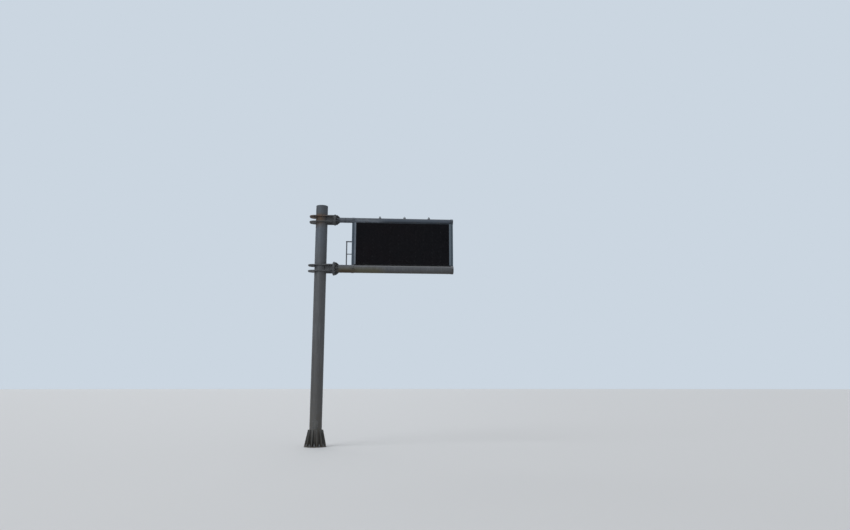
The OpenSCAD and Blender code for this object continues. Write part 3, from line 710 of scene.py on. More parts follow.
def thread(size, low, high, pitch):
    """A threaded length along Z with a slightly pointed end."""
    turns = max(2, round((high - low) / pitch))
    rise = (high - low) / turns
    profile = [(0.0, low)]
    for turn in range(turns):
        profile.append((size * THREAD_ROOT, low + turn * rise))
        profile.append((size * THREAD_CREST, low + (turn + 0.5) * rise))
    profile += [(size * THREAD_END, high), (0.0, high + THREAD_TIP * size)]
    return turned(profile, steps=12)


def bolt(size, grip):
    """A hexagon bolt along Z: its head lies below 0, its nut above the grip."""
    bm = bmesh.new()
    seat = WASHER_THICKNESS * size
    washer(bm, size, -seat)
    hexagon(bm, size, -seat - HEAD_HEIGHT * size, -seat)
    washer(bm, size, grip)
    top = grip + seat + NUT_HEIGHT * size
    hexagon(bm, size, grip + seat, top)
    end = thread(size, top - THREAD_IN_NUT * size, top + BOLT_STUB * size, pitch=THREAD_PITCH * size)
    stamp(bm, end, Matrix.Identity(4))
    return shape(bm)


def screw(size):
    """A low domed screw head that stands on z = 0, with a socket in its top."""
    return turned([(0, 0), (size, 0), (size * 0.95, size * 0.35), (size * 0.6, size * 0.6),
                   (size * 0.35, size * 0.62), (size * 0.30, size * 0.3), (0, size * 0.3)], steps=12)


print("bolt shapes ready")

# %% [markdown]
# ## Anchor bolts
# Twelve M36 studs are cast into the foundation and come up through the base flange. Each
# has a thick washer, a nut, and a thinner lock nut above it, and ends in a length of bare
# thread. The gussets stand half a step round the ring, so a spanner fits between them. Nuts
# stop wherever they are tight, so no two studs are turned alike.

# %% Anchor bolts on the base flange
ANCHOR_COUNT = 12
ANCHOR_RADIUS = 0.330
ANCHOR_SIZE = 0.036
ANCHOR_STUB = 0.030
ANCHOR_PITCH = 0.004
ANCHOR_TURN = 3.7
THICK_WASHER = 1.15
LOCK_NUT_HEIGHT = 0.5
LOCK_NUT_TURN = math.radians(17)
STUD_START = 0.001


def anchor_stud(flange_top):
    bm = bmesh.new()
    washer(bm, ANCHOR_SIZE * THICK_WASHER, flange_top)
    nut_low = flange_top + WASHER_THICKNESS * ANCHOR_SIZE * THICK_WASHER
    nut_high = nut_low + NUT_HEIGHT * ANCHOR_SIZE
    lock_high = nut_high + LOCK_NUT_HEIGHT * ANCHOR_SIZE
    hexagon(bm, ANCHOR_SIZE, nut_low, nut_high)
    lock = bmesh.new()
    hexagon(lock, ANCHOR_SIZE, nut_high, lock_high)
    stamp(bm, shape(lock), Matrix.Rotation(LOCK_NUT_TURN, 4, "Z"))
    end = thread(ANCHOR_SIZE, lock_high - ANCHOR_PITCH, lock_high + ANCHOR_STUB, pitch=ANCHOR_PITCH)
    stamp(bm, end, Matrix.Identity(4))
    rod(bm, (0, 0, STUD_START), (0, 0, nut_low), ANCHOR_SIZE / 2, sides=12)
    return shape(bm)


_, flange_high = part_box("base_flange")
stud = anchor_stud(flange_high.z)
anchors = bmesh.new()
for number in range(ANCHOR_COUNT):
    angle = WHOLE_TURN * number / ANCHOR_COUNT
    spot = (ANCHOR_RADIUS * math.cos(angle), ANCHOR_RADIUS * math.sin(angle), 0)
    stamp(anchors, stud, at(spot, angle * ANCHOR_TURN))
piece("anchor_bolts", anchors, bolt_finish)

# %% [markdown]
# ## Flange bolts
# Where an arm meets the pole, two flanges are drawn together by a ring of M24 bolts. The
# bolts lie along X, so the stamp is turned a quarter about Y, and the ring is laid out in
# the plane of the flanges. Heads are on the pole's side, nuts on the arm's. For each joint
# the table holds the number of bolts and the radius of their circle.

# %% Bolts of the two flanged joints
JOINT_BOLT = 0.024
JOINT_BOLT_TURN = 2.3
JOINTS = {"upper": (8, 0.1725), "lower": (12, 0.220)}

joint_bolts = bmesh.new()
for level, (count, radius) in JOINTS.items():
    low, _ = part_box(f"{level}_pole_flange")
    _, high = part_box(f"{level}_arm_flange")
    middle = Vector((low.x, 0.0, (low.z + high.z) / 2))
    bolt_mesh = bolt(JOINT_BOLT, grip=high.x - low.x)
    for number in range(count):
        angle = WHOLE_TURN * (number + 0.5) / count
        spot = middle + radius * Vector((0.0, math.sin(angle), math.cos(angle)))
        turn = Matrix.Rotation(angle * JOINT_BOLT_TURN, 4, "Z")
        stamp(joint_bolts, bolt_mesh, at(spot, QUARTER_TURN, "Y") @ turn)
piece("flange_bolts", joint_bolts, bolt_finish)

# %% [markdown]
# ## Clamp bolts
# Each upright ends in a pair of half-shell clamps round the arm, closed by four upright
# bolts through the ears. Where the ears stand is worked out from the clamp's own box.

# %% Bolts of the upright clamps
CLAMP_BOLT = 0.016
CLAMP_EAR = 0.044
CLAMP_BOLT_PITCH = 0.050
CLAMP_GRIP = 0.024

clamp_bolt = bolt(CLAMP_BOLT, grip=CLAMP_GRIP)
clamp_bolts = bmesh.new()
for level in JOINTS:
    low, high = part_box(f"{level}_clamps")
    height = (low.z + high.z) / 2
    for upright in ("left_upright", "right_upright"):
        left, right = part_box(upright)
        middle = (left.x + right.x) / 2
        for side in (low.y + CLAMP_EAR / 2, high.y - CLAMP_EAR / 2):
            for shift in (-CLAMP_BOLT_PITCH / 2, CLAMP_BOLT_PITCH / 2):
                spot = (middle + shift, side, height + CLAMP_GRIP / 2)
                stamp(clamp_bolts, clamp_bolt, at(spot, HALF_TURN, "X"))
piece("clamp_bolts", clamp_bolts, bolt_finish)

# %% [markdown]
# ## Weld beads
# A fillet weld is a half-buried rope of metal with a ripple at each pulse of the torch. A
# six-sided ring is swept with spin: round a full turn or a part of one for a bead on a pipe,
# or through no angle with a step along Z for a straight run. Each point is then pushed out
# or in by a sine of the distance travelled, which makes the ripples. The ends of a straight
# bead fade, and holes_fill closes whatever is left open.

# %% Weld helpers
BEAD_STEP = 0.0055
BEAD_END = 0.35
RIPPLE_PITCH = 0.016
RIPPLE_HEIGHT = 0.16


def bead_ring(bm, matrix, radius, size, sweep=WHOLE_TURN):
    """A bead round a circle in the XY plane, or round a part of it that has +X in its middle."""
    ring = bmesh.new()
    tilt = Matrix.Rotation(-sweep / 2, 4, "Z") @ Matrix.Translation((radius, 0, 0))
    tilt = tilt @ Matrix.Rotation(QUARTER_TURN, 4, "X")
    bmesh.ops.create_circle(ring, segments=6, radius=size, matrix=tilt)
    bmesh.ops.spin(ring, geom=ring.verts[:] + ring.edges[:], cent=(0, 0, 0), axis=UP, dvec=(0, 0, 0),
                   angle=sweep, steps=round(radius * sweep / BEAD_STEP),
                   use_merge=(sweep == WHOLE_TURN), use_duplicate=False)
    ends = [edge for edge in ring.edges if edge.is_boundary]
    bmesh.ops.holes_fill(ring, edges=ends, sides=6)
    ripples = round(WHOLE_TURN * radius / RIPPLE_PITCH)
    for vert in ring.verts:
        angle = math.atan2(vert.co.y, vert.co.x)
        centre = radius * Vector((math.cos(angle), math.sin(angle), 0))
        vert.co = centre + (vert.co - centre) * (1 + RIPPLE_HEIGHT * math.sin(angle * ripples))
    stamp(bm, shape(ring), matrix)


def bead_line(bm, start, end, size):
    """A straight bead between two points."""
    start, end = Vector(start), Vector(end)
    length = (end - start).length
    steps = max(4, round(length / BEAD_STEP))
    line = bmesh.new()
    bmesh.ops.create_circle(line, segments=6, radius=size)
    bmesh.ops.spin(line, geom=line.verts[:] + line.edges[:], cent=(0, 0, 0), axis=UP,
                   dvec=(0, 0, length / steps), angle=0.0, steps=steps, use_merge=False,
                   use_duplicate=False)
    for vert in line.verts:
        fade = min(1.0, BEAD_END + min(vert.co.z, length - vert.co.z) / (2 * size))
        swell = fade * (1 + RIPPLE_HEIGHT * math.sin(WHOLE_TURN * vert.co.z / RIPPLE_PITCH))
        vert.co.x *= swell
        vert.co.y *= swell
    ends = [edge for edge in line.edges if edge.is_boundary]
    bmesh.ops.holes_fill(line, edges=ends, sides=6)
    stamp(bm, shape(line), Matrix.Translation(start) @ pointing(end - start))


print("weld helpers ready")

# %% [markdown]
# ## Welds on the pole
# The pole is welded to its base flange all round, and every gusset is welded down both
# sides, along the pole and along the flange. A gusset's inner corner is cut off, so that its
# own welds stop short and the ring passes through. One gusset's four runs are made once, and
# the set is stamped twelve times. The cap is closed with one ring. The long seam of the pipe
# itself runs down the back, where it shows least from the front.

# %% Pole welds
GUSSET_HALF = 0.007
GUSSET_SNIPE = 0.020
GUSSET_TOE = 0.012
BASE_BEAD = 0.006
CAP_BEAD = 0.004
CAP_SINK = 0.002
SEAM_BEAD = 0.004
SEAM_SINK = 0.001
SEAM_ABOVE_GUSSETS = 0.05
SEAM_BELOW_CAP = 0.02

_, shaft_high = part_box("pole_shaft")
pole_radius = shaft_high.y
_, gusset_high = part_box("base_gussets")

gusset_welds = bmesh.new()
for side in (-GUSSET_HALF, GUSSET_HALF):
    bead_line(gusset_welds, (pole_radius, side, flange_high.z + GUSSET_SNIPE),
              (pole_radius, side, gusset_high.z), BASE_BEAD)
    bead_line(gusset_welds, (pole_radius + GUSSET_SNIPE, side, flange_high.z),
              (flange_high.x - GUSSET_TOE, side, flange_high.z), BASE_BEAD)
gusset_set = shape(gusset_welds)

pole_welds = bmesh.new()
for number in range(ANCHOR_COUNT):
    stamp(pole_welds, gusset_set, Matrix.Rotation(WHOLE_TURN * (number + 0.5) / ANCHOR_COUNT, 4, "Z"))
bead_ring(pole_welds, at((0, 0, flange_high.z)), pole_radius, BASE_BEAD)
bead_ring(pole_welds, at((0, 0, shaft_high.z)), pole_radius - CAP_SINK, CAP_BEAD)
bead_line(pole_welds, (0, pole_radius - SEAM_SINK, gusset_high.z + SEAM_ABOVE_GUSSETS),
          (0, pole_radius - SEAM_SINK, shaft_high.z - SEAM_BELOW_CAP), SEAM_BEAD)
piece("pole_welds", pole_welds, weld_finish)

# %% [markdown]
# ## Welds of the collars and webs
# Each collar plate is welded to the pole above and below. The two web plates slot over the
# collars, and each is welded to the pole along one upright line and to the back of the flange
# along another. A web touches the pole off to one side, so how far out that line stands
# follows from the circle.

# %% Collar and web welds
WEB_HALF_SPAN = 0.130
COLLAR_BEAD = 0.0055

joint_welds = bmesh.new()
web_foot = math.sqrt(pole_radius ** 2 - WEB_HALF_SPAN ** 2)
for level in JOINTS:
    for name in (f"{level}_collar_top", f"{level}_collar_bottom"):
        low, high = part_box(name)
        for height in (low.z, high.z):
            bead_ring(joint_welds, at((0, 0, height)), pole_radius, COLLAR_BEAD)
    low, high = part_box(f"{level}_joint_webs")
    for side in (-WEB_HALF_SPAN, WEB_HALF_SPAN):
        for x in (web_foot, high.x):
            bead_line(joint_welds, (x, side, low.z), (x, side, high.z), COLLAR_BEAD)
piece("collar_welds", joint_welds, weld_finish)

# %% [markdown]
# ## Welds of the arm flanges
# An arm is welded to its flange all round, and its far end is closed by a cap with one ring.
# The gussets are welded along the arm and along the flange, and as at the pole's foot, one
# gusset's runs are made once and stamped round the arm. Radius and height of an arm come
# from its box, and more of the welds below need them, so they have a helper.

# %% Arm flange welds
ARM_GUSSET_HALF = 0.005
ARM_GUSSET_SNIPE = 0.012
ARM_GUSSET_TOE = 0.012
ARM_FLANGE_BEAD = 0.006
ARM_CAP_SINK = 0.001
ARM_BEAD = 0.0045


def arm_pipe(level):
    """An arm's radius and the height of its axis."""
    low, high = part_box(f"{level}_arm")
    return high.y, (low.z + high.z) / 2


arm_welds = bmesh.new()
for level, (count, _) in JOINTS.items():
    radius, axis_z = arm_pipe(level)
    _, arm_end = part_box(f"{level}_arm")
    _, flange_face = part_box(f"{level}_arm_flange")
    _, gusset_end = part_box(f"{level}_arm_gussets")
    bead_ring(arm_welds, at((flange_face.x, 0, axis_z), QUARTER_TURN, "Y"), radius, ARM_FLANGE_BEAD)
    bead_ring(arm_welds, at((arm_end.x, 0, axis_z), QUARTER_TURN, "Y"), radius - ARM_CAP_SINK, CAP_BEAD)
    run = bmesh.new()
    for side in (-ARM_GUSSET_HALF, ARM_GUSSET_HALF):
        bead_line(run, (ARM_GUSSET_SNIPE, side, radius),
                  (gusset_end.x - flange_face.x, side, radius), ARM_BEAD)
        bead_line(run, (0, side, radius + ARM_GUSSET_SNIPE),
                  (0, side, gusset_end.y - ARM_GUSSET_TOE), ARM_BEAD)
    gusset_run = shape(run)
    for number in range(count):
        stamp(arm_welds, gusset_run, at((flange_face.x, 0, axis_z), WHOLE_TURN * number / count, "X"))
piece("arm_welds", arm_welds, weld_finish)

# %% [markdown]
# ## Welds of the saddles
# Each saddle's two ribs are welded where they bend round the arm, so a bead there is a part
# of a ring. How wide that part is comes from the height at which the rib leaves the pipe: it
# is the angle whose cosine is that height over the radius. The upper saddles hang under
# their arm and the lower ones stand on theirs, so the ring is turned one way or the other.

# %% Saddle welds
SADDLE_COUNT = 4
SADDLE_WIDTH = 0.080
SMALL_BEAD = 0.0035
FACING = {"upper": 1, "lower": -1}

frame_welds = bmesh.new()
for level, facing in FACING.items():
    radius, axis_z = arm_pipe(level)
    low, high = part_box(f"{level}_saddles")
    rib_end = min(abs(low.z - axis_z), abs(high.z - axis_z))
    sweep = 2 * math.acos(rib_end / radius)
    step = (high.x - low.x - SADDLE_WIDTH) / (SADDLE_COUNT - 1)
    for number in range(SADDLE_COUNT):
        for side in (0.0, SADDLE_WIDTH):
            spot = (low.x + number * step + side, 0, axis_z)
            bead_ring(frame_welds, at(spot, facing * QUARTER_TURN, "Y"), radius, SMALL_BEAD, sweep)
    print(f"{level} saddles: {SADDLE_COUNT}, welded over {math.degrees(sweep):.0f} degrees of the arm")

# %% [markdown]
# ## Welds of the uprights
# The uprights are welded to their clamps. Before and behind the arm the bead runs straight
# along the tube, at the height where the tube's face meets the clamp. On the other two sides
# it follows the clamp, and is a part of a ring again.

# %% Upright welds
CLAMP_THICKNESS = 0.0083
TUBE_CORNER = 0.01
EDGE_BEAD = 0.0025
EDGE_SHARE = 0.8

for level, facing in FACING.items():
    radius, axis_z = arm_pipe(level)
    radius += CLAMP_THICKNESS
    for upright in ("left_upright", "right_upright"):
        low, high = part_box(upright)
        height = axis_z - facing * math.sqrt(radius ** 2 - high.y ** 2)
        for y in (low.y, high.y):
            bead_line(frame_welds, (low.x + TUBE_CORNER, y, height), (high.x - TUBE_CORNER, y, height),
                      SMALL_BEAD)
        sweep = 2 * math.asin(high.y / radius) * EDGE_SHARE
        for x in (low.x, high.x):
            bead_ring(frame_welds, at((x, 0, axis_z), facing * QUARTER_TURN, "Y"), radius, EDGE_BEAD, sweep)
print(f"uprights welded to clamps of {1000 * radius:.0f} mm radius on the lower arm")

# %% [markdown]
# ## Welds of the lifting lugs
# The lugs stand on top of the upper arm, in line with it, so their welds are plain straight
# runs along both sides of each foot.

# %% Lug welds
LUG_COUNT = 3
LUG_FOOT = 0.104
LUG_HALF = 0.007

low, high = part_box("lifting_lugs")
step = (high.x - low.x - LUG_FOOT) / (LUG_COUNT - 1)
for number in range(LUG_COUNT):
    foot = low.x + number * step
    for side in (-LUG_HALF, LUG_HALF):
        bead_line(frame_welds, (foot, side, low.z), (foot + LUG_FOOT, side, low.z), SMALL_BEAD)
piece("frame_welds", frame_welds, weld_finish)

# %% [markdown]
# ## Hand-hole cover
# The cover over the wiring opening is curved to the pole and held by six screws. The
# screws stand square to the curved plate, so each is turned to face out from the axis.

# %% Cover screws
COVER_SCREW = 0.009
COVER_EDGE = 0.016
COVER_SIDE_RISE = 0.085

low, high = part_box("hand_hole_cover")
cover_middle = (low.z + high.z) / 2
cover_radius = -low.y
half_width = high.x - COVER_EDGE
half_height = (high.z - low.z) / 2 - COVER_EDGE
cover_screws = bmesh.new()
cover_screw = screw(COVER_SCREW)
spots = [(0.0, half_height), (0.0, -half_height)]
spots += [(side * half_width, rise) for side in (-1, 1) for rise in (-COVER_SIDE_RISE, COVER_SIDE_RISE)]
for across, rise in spots:
    angle = math.asin(across / cover_radius) - QUARTER_TURN
    outward = Vector((math.cos(angle), math.sin(angle), 0))
    spot = cover_radius * outward + Vector((0, 0, cover_middle + rise))
    stamp(cover_screws, cover_screw, Matrix.Translation(spot) @ pointing(outward))
piece("cover_screws", cover_screws, bolt_finish)

# %% [markdown]
# ## Lamps of the display
# A road display shows one lamp every 20 mm, so eleven by ten modules hold 14,080 of them.
# Modelling one and repeating it is a job for rows: one lamp becomes a row across, and the
# row becomes a field. Each lamp is a six-sided cone cut off flat, whose front is poked out
# into a crown, and has only 22 triangles. The field is made in two halves so that neither
# mesh grows too big.

# %% Lamps
LAMP_PITCH = 0.020
LAMP_RADIUS = 0.0046
LAMP_RISE = 0.0030
LAMP_MIDDLE = 0.3
LAMP_BODY = 0.75
LAMP_CROWN = 0.3
LAMP_TAPER = 0.7

display_low, display_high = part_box("display_face")
lamp_cols = round((display_high.x - display_low.x) / LAMP_PITCH)
lamp_rows = round((display_high.z - display_low.z) / LAMP_PITCH)


def lamp_field(name, first_row, rows):
    """Lamps over the display's whole width and some of its rows."""
    field = bmesh.new()
    middle = (display_low.x + LAMP_PITCH / 2, display_low.y - LAMP_RISE * LAMP_MIDDLE,
              display_low.z + (first_row + 0.5) * LAMP_PITCH)
    bmesh.ops.create_cone(field, cap_ends=True, segments=6, radius1=LAMP_RADIUS,
                          radius2=LAMP_RADIUS * LAMP_TAPER, depth=LAMP_RISE * LAMP_BODY,
                          matrix=at(middle, QUARTER_TURN, "X"))
    field.normal_update()
    front = min(field.faces, key=lambda face: face.calc_center_median().y)
    bmesh.ops.poke(field, faces=[front], offset=LAMP_RISE * LAMP_CROWN)
    row(field, (LAMP_PITCH, 0, 0), lamp_cols)
    row(field, (0, 0, LAMP_PITCH), rows)
    proud = display_low.y - min(vert.co.y for vert in field.verts)
    print(f"{lamp_cols * rows} lamps stand {1000 * proud:.1f} mm proud")
    piece(name, field, resin_finish, crease=80)


lamp_field("lamps_lower", 0, lamp_rows // 2)
lamp_field("lamps_upper", lamp_rows // 2, lamp_rows - lamp_rows // 2)

# %% [markdown]
# ## Sun shades
# Over each row of lamps a thin shade keeps the sun off, and from below, as in the
# photograph, those shades are what makes the display look so even and dark. One shade per
# module and row is enough.

# %% Sun shades
SHADE_DEPTH = 0.0075
SHADE_THICKNESS = 0.0012
SHADE_LIFT = 0.0068
SHADE_GAP = 0.004
SHADE_SINK = 0.001
SHADE_EDGE = 0.0003

module_cols = round((display_high.x - display_low.x) / MODULE_WIDTH)
module_rows = round((display_high.z - display_low.z) / MODULE_HEIGHT)

shades = bmesh.new()
low = Vector((display_low.x + SHADE_GAP / 2, display_low.y - SHADE_DEPTH,
              display_low.z + LAMP_PITCH / 2 + SHADE_LIFT))
high = low + Vector((MODULE_WIDTH - SHADE_GAP, SHADE_DEPTH + SHADE_SINK, SHADE_THICKNESS))
block(shades, low, high, round_off=SHADE_EDGE)
row(shades, (MODULE_WIDTH, 0, 0), module_cols)
row(shades, (0, 0, LAMP_PITCH), lamp_rows)
piece("lamp_shades", shades, display_finish)

# %% [markdown]
# ## Module screws
# Each module is held by four screws from the front. They stand between the lamps, half a
# pitch in from the module's sides and a whole one from its top and bottom.

# %% Module screws
MODULE_SCREW = 0.0026

module_screws = bmesh.new()
module_screw = screw(MODULE_SCREW)
for across in (LAMP_PITCH / 2, MODULE_WIDTH - LAMP_PITCH / 2):
    for rise in (LAMP_PITCH, MODULE_HEIGHT - LAMP_PITCH):
        spot = display_low + Vector((across, 0, rise))
        stamp(module_screws, module_screw, at(spot, QUARTER_TURN, "X"))
row(module_screws, (MODULE_WIDTH, 0, 0), module_cols)
row(module_screws, (0, 0, MODULE_HEIGHT), module_rows)
piece("module_screws", module_screws, bolt_finish)

# %% [markdown]
# ## Bezel screws
# The bezel's broad side members are screwed to the cabinet, one screw every quarter of a
# metre. A pitch that comes out even is found by dividing the height by a whole number.

# %% Bezel screws
BEZEL_SCREW = 0.006
BEZEL_PITCH = 0.25
BEZEL_END = 0.06

bezel_low, bezel_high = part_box("cabinet_bezel")
bezel_screws = bmesh.new()
bezel_screw = screw(BEZEL_SCREW)
span = bezel_high.z - bezel_low.z - 2 * BEZEL_END
gaps = round(span / BEZEL_PITCH)
for x in ((bezel_low.x + display_low.x) / 2, (bezel_high.x + display_high.x) / 2):
    for number in range(gaps + 1):
        spot = (x, bezel_low.y, bezel_low.z + BEZEL_END + number * span / gaps)
        stamp(bezel_screws, bezel_screw, at(spot, QUARTER_TURN, "X"))
piece("bezel_screws", bezel_screws, bolt_finish)

# %% [markdown]
# ## Hinges of the rear doors
# Each door has three hinges on one side. A hinge is a barrel of three knuckles round a pin,
# between two leaves: one lies flat on the cabinet, and the other runs from the barrel's
# outer side to the door.

# %% Hinges
DOOR_COUNT = 4
HINGE_HEIGHT = 0.090
HINGE_RADIUS = 0.008
HINGE_PLACES = (0.12, 0.5, 0.88)
KNUCKLE_GAP = 0.001
KNUCKLE_EDGE = 0.0008
PIN_SHARE = 0.55
PIN_END = 0.003
LEAF_WIDTH = 0.024
LEAF_SHEET = 0.003
LEAF_INSET = 0.004
LEAF_EDGE = 0.001
DOOR_LEAF_OUT = 0.012

shell_low, shell_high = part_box("cabinet_shell")
back = shell_high.y


def barrel():
    """A hinge's barrel and pin, along Z at the origin."""
    bm = bmesh.new()
    knuckle = HINGE_HEIGHT / 3
    for number in range(3):
        low = -HINGE_HEIGHT / 2 + number * knuckle
        rod(bm, (0, 0, low + KNUCKLE_GAP / 2), (0, 0, low + knuckle - KNUCKLE_GAP / 2), HINGE_RADIUS,
            sides=14, round_off=KNUCKLE_EDGE)
    rod(bm, (0, 0, -HINGE_HEIGHT / 2 - PIN_END), (0, 0, HINGE_HEIGHT / 2 + PIN_END),
        HINGE_RADIUS * PIN_SHARE, sides=10)
    return shape(bm)


hinges = bmesh.new()
hinge_barrel = barrel()
for number in range(DOOR_COUNT):
    low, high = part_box(f"rear_door_{number + 1}")
    for share in HINGE_PLACES:
        height = low.z + share * (high.z - low.z)
        foot = height - HINGE_HEIGHT / 2 + LEAF_INSET
        top = height + HINGE_HEIGHT / 2 - LEAF_INSET
        stamp(hinges, hinge_barrel, at((low.x - HINGE_RADIUS, back + HINGE_RADIUS, height)))
        block(hinges, (low.x - LEAF_WIDTH, back, foot), (low.x - HINGE_RADIUS, back + LEAF_SHEET, top),
              round_off=LEAF_EDGE)
        block(hinges, (low.x - HINGE_RADIUS, back + DOOR_LEAF_OUT, foot),
              (low.x, back + DOOR_LEAF_OUT + LEAF_SHEET, top), round_off=LEAF_EDGE)
piece("door_hinges", hinges, bolt_finish)

# %% [markdown]
# ## Handles of the rear doors
# On its other side each door has two folding handles. A handle is a rounded plate with a
# raised grip and a round lock above it. It stands on the door's flat tray, and the louvres
# reach a little further out.

# %% Handles
LOUVRE_OUT = 0.012
HANDLE_WIDTH = 0.034
HANDLE_HEIGHT = 0.150
HANDLE_INSET = 0.045
HANDLE_PLACES = (0.36, 0.64)
PLATE_OUT = 0.006
LOCK_OUT = 0.014
GRIP_OUT = 0.016
LAP = 0.001


def handle():
    """A folding handle on its plate, standing on y = 0 and facing +Y."""
    bm = bmesh.new()
    width = HANDLE_WIDTH
    height = HANDLE_HEIGHT
    lock = height * 0.30
    block(bm, (-width / 2, 0, -height / 2), (width / 2, PLATE_OUT, height / 2), round_off=0.0028)
    block(bm, (-width * 0.30, PLATE_OUT - LAP, -height * 0.42), (width * 0.30, GRIP_OUT, height * 0.12),
          round_off=0.004)
    rod(bm, (0, PLATE_OUT - LAP, lock), (0, LOCK_OUT, lock), width * 0.30, sides=18, round_off=0.0015)
    rod(bm, (0, LOCK_OUT - LAP, lock), (0, GRIP_OUT, lock), width * 0.12, sides=12, round_off=0.0008)
    return shape(bm)


handles = bmesh.new()
handle_mesh = handle()
for number in range(DOOR_COUNT):
    low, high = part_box(f"rear_door_{number + 1}")
    for share in HANDLE_PLACES:
        spot = (high.x - HANDLE_INSET, high.y - LOUVRE_OUT, low.z + share * (high.z - low.z))
        stamp(handles, handle_mesh, at(spot))
piece("door_handles", handles, rubber_finish)

# %% [markdown]
# ## Door seals
# The seal shows as a thin dark line all round each door. It starts as one rectangle, and
# inset turns it into a frame: the inner face is taken away and the frame is thickened.

# %% Door seals
SEAL_OUT = 0.003
SEAL_WIDTH = 0.010
SEAL_DEPTH = 0.004


def pushed(bm, faces, step):
    """Pushes flat faces along a step into a solid."""
    grown = bmesh.ops.extrude_face_region(bm, geom=faces, use_keep_orig=True)["geom"]
    moved = [item for item in grown if isinstance(item, bmesh.types.BMVert)]
    bmesh.ops.translate(bm, verts=moved, vec=step)


seals = bmesh.new()
for number in range(DOOR_COUNT):
    low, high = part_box(f"rear_door_{number + 1}")
    left, right = low.x - SEAL_OUT, high.x + SEAL_OUT
    foot, top = low.z - SEAL_OUT, high.z + SEAL_OUT
    corners = [(left, back, foot), (right, back, foot), (right, back, top), (left, back, top)]
    sheet = seals.faces.new([seals.verts.new(corner) for corner in corners])
    sheet.normal_update()
    rim = bmesh.ops.inset_region(seals, faces=[sheet], thickness=SEAL_WIDTH, use_boundary=True,
                                 use_even_offset=True)["faces"]
    bmesh.ops.delete(seals, geom=[sheet], context="FACES_KEEP_BOUNDARY")
    pushed(seals, rim, (0, SEAL_DEPTH, 0))
piece("door_seals", seals, rubber_finish)

# %% [markdown]
# ## Drip strip
# Above the doors a folded strip throws rain clear of the seals. Its outline is drawn once
# in the YZ plane and pushed along X. It stands up against the cabinet, falls outwards and
# ends in a lip.

# %% Drip strip
DRIP_ABOVE_DOOR = 0.012
DRIP_RISE = 0.028
DRIP_OUT = 0.030
DRIP_FALL = 0.006
DRIP_LIP = 0.008
DRIP_SHEET = 0.002
DRIP_INSET = 0.02

_, door_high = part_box("rear_door_1")
drip_z = door_high.z + DRIP_ABOVE_DOOR
outline = [(0, DRIP_RISE), (DRIP_SHEET, DRIP_RISE), (DRIP_SHEET, DRIP_SHEET), (DRIP_OUT, -DRIP_FALL),
           (DRIP_OUT, -DRIP_FALL - DRIP_LIP), (DRIP_OUT - DRIP_SHEET, -DRIP_FALL - DRIP_LIP),
           (DRIP_OUT - DRIP_SHEET, -DRIP_FALL - DRIP_SHEET), (0, 0)]
drip = bmesh.new()
points = [drip.verts.new((shell_low.x + DRIP_INSET, back + y, drip_z + z)) for y, z in outline]
pushed(drip, [drip.faces.new(points)], (shell_high.x - shell_low.x - 2 * DRIP_INSET, 0, 0))
piece("drip_strip", drip, sheet_finish)

# %% [markdown]
# ## Walkway bolts
# The brackets and the rail's posts share their places along the walkway: even steps from
# one end of the handrail to the other. Each post stands on a foot plate with two bolts, a
# little behind it, and each stringer is bolted to every bracket flat with a pair of bolts. A
# bolt's grip is the two thicknesses that it holds together.

# %% Walkway bolts
RAIL_BOLT = 0.012
POST_COUNT = 5
FOOT_PLATE = 0.008
BRACKET_FLAT = 0.008
STRINGER_SHEET = 0.005
FOOT_BOLT_OUT = 0.036
FOOT_BOLT_SIDE = 0.62 * FOOT_BOLT_OUT
STRINGER_BOLT_IN = 0.020
STRINGER_BOLT_SIDE = 0.018

rail_low, rail_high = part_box("handrail")
rail_radius = (rail_high.y - rail_low.y) / 2
rail_y = (rail_low.y + rail_high.y) / 2
rail_z = (rail_low.z + rail_high.z) / 2
first_x = rail_low.x + rail_radius
last_x = rail_high.x - rail_radius
post_x = [first_x + number * (last_x - first_x) / (POST_COUNT - 1) for number in range(POST_COUNT)]
bracket_low, bracket_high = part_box("walkway_brackets")
stringer_low, stringer_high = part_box("walkway_stringers")
foot_z = bracket_high.z + FOOT_PLATE

walk_bolts = bmesh.new()
foot_bolt = bolt(RAIL_BOLT, grip=FOOT_PLATE + BRACKET_FLAT)
side_bolt = bolt(RAIL_BOLT, grip=STRINGER_SHEET + BRACKET_FLAT)
for x in post_x:
    for shift in (-FOOT_BOLT_SIDE, FOOT_BOLT_SIDE):
        stamp(walk_bolts, foot_bolt, at((x + shift, rail_y + FOOT_BOLT_OUT, foot_z), HALF_TURN, "X"))
    for y in (stringer_low.y + STRINGER_BOLT_IN, stringer_high.y - STRINGER_BOLT_IN):
        for shift in (-STRINGER_BOLT_SIDE, STRINGER_BOLT_SIDE):
            spot = (x + shift, y, bracket_high.z + STRINGER_SHEET)
            stamp(walk_bolts, side_bolt, at(spot, HALF_TURN, "X"))
piece("walkway_bolts", walk_bolts, bolt_finish)

# %% [markdown]
# ## Grating clips
# A grating is held at its four corners by saddle clips with one bolt each. One corner of the
# last grating has no clip, because the end rail's post stands there and its own bolts hold
# the corner.

# %% Grating clips
GRATING_COUNT = 4
CLIP_BOLT = 0.008
CLIP_HALF = Vector((0.026, 0.014, 0.0))
CLIP_SHEET = Vector((0.0, 0.0, 0.003))
CLIP_EDGE = 0.001
CLIP_FROM_END = 0.06
CLIP_FROM_SIDE = 0.022

end_low, end_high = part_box("end_rail")
plate_half = (end_high.x - end_low.x) / 2
end_x = end_low.x + plate_half
end_y = end_low.y + plate_half


def under_end_post(spot):
    """Tells whether a clip would lie under the foot plate of the end rail's post."""
    return (abs(spot.x - end_x) < plate_half + CLIP_HALF.x
            and abs(spot.y - end_y) < plate_half + CLIP_HALF.y)


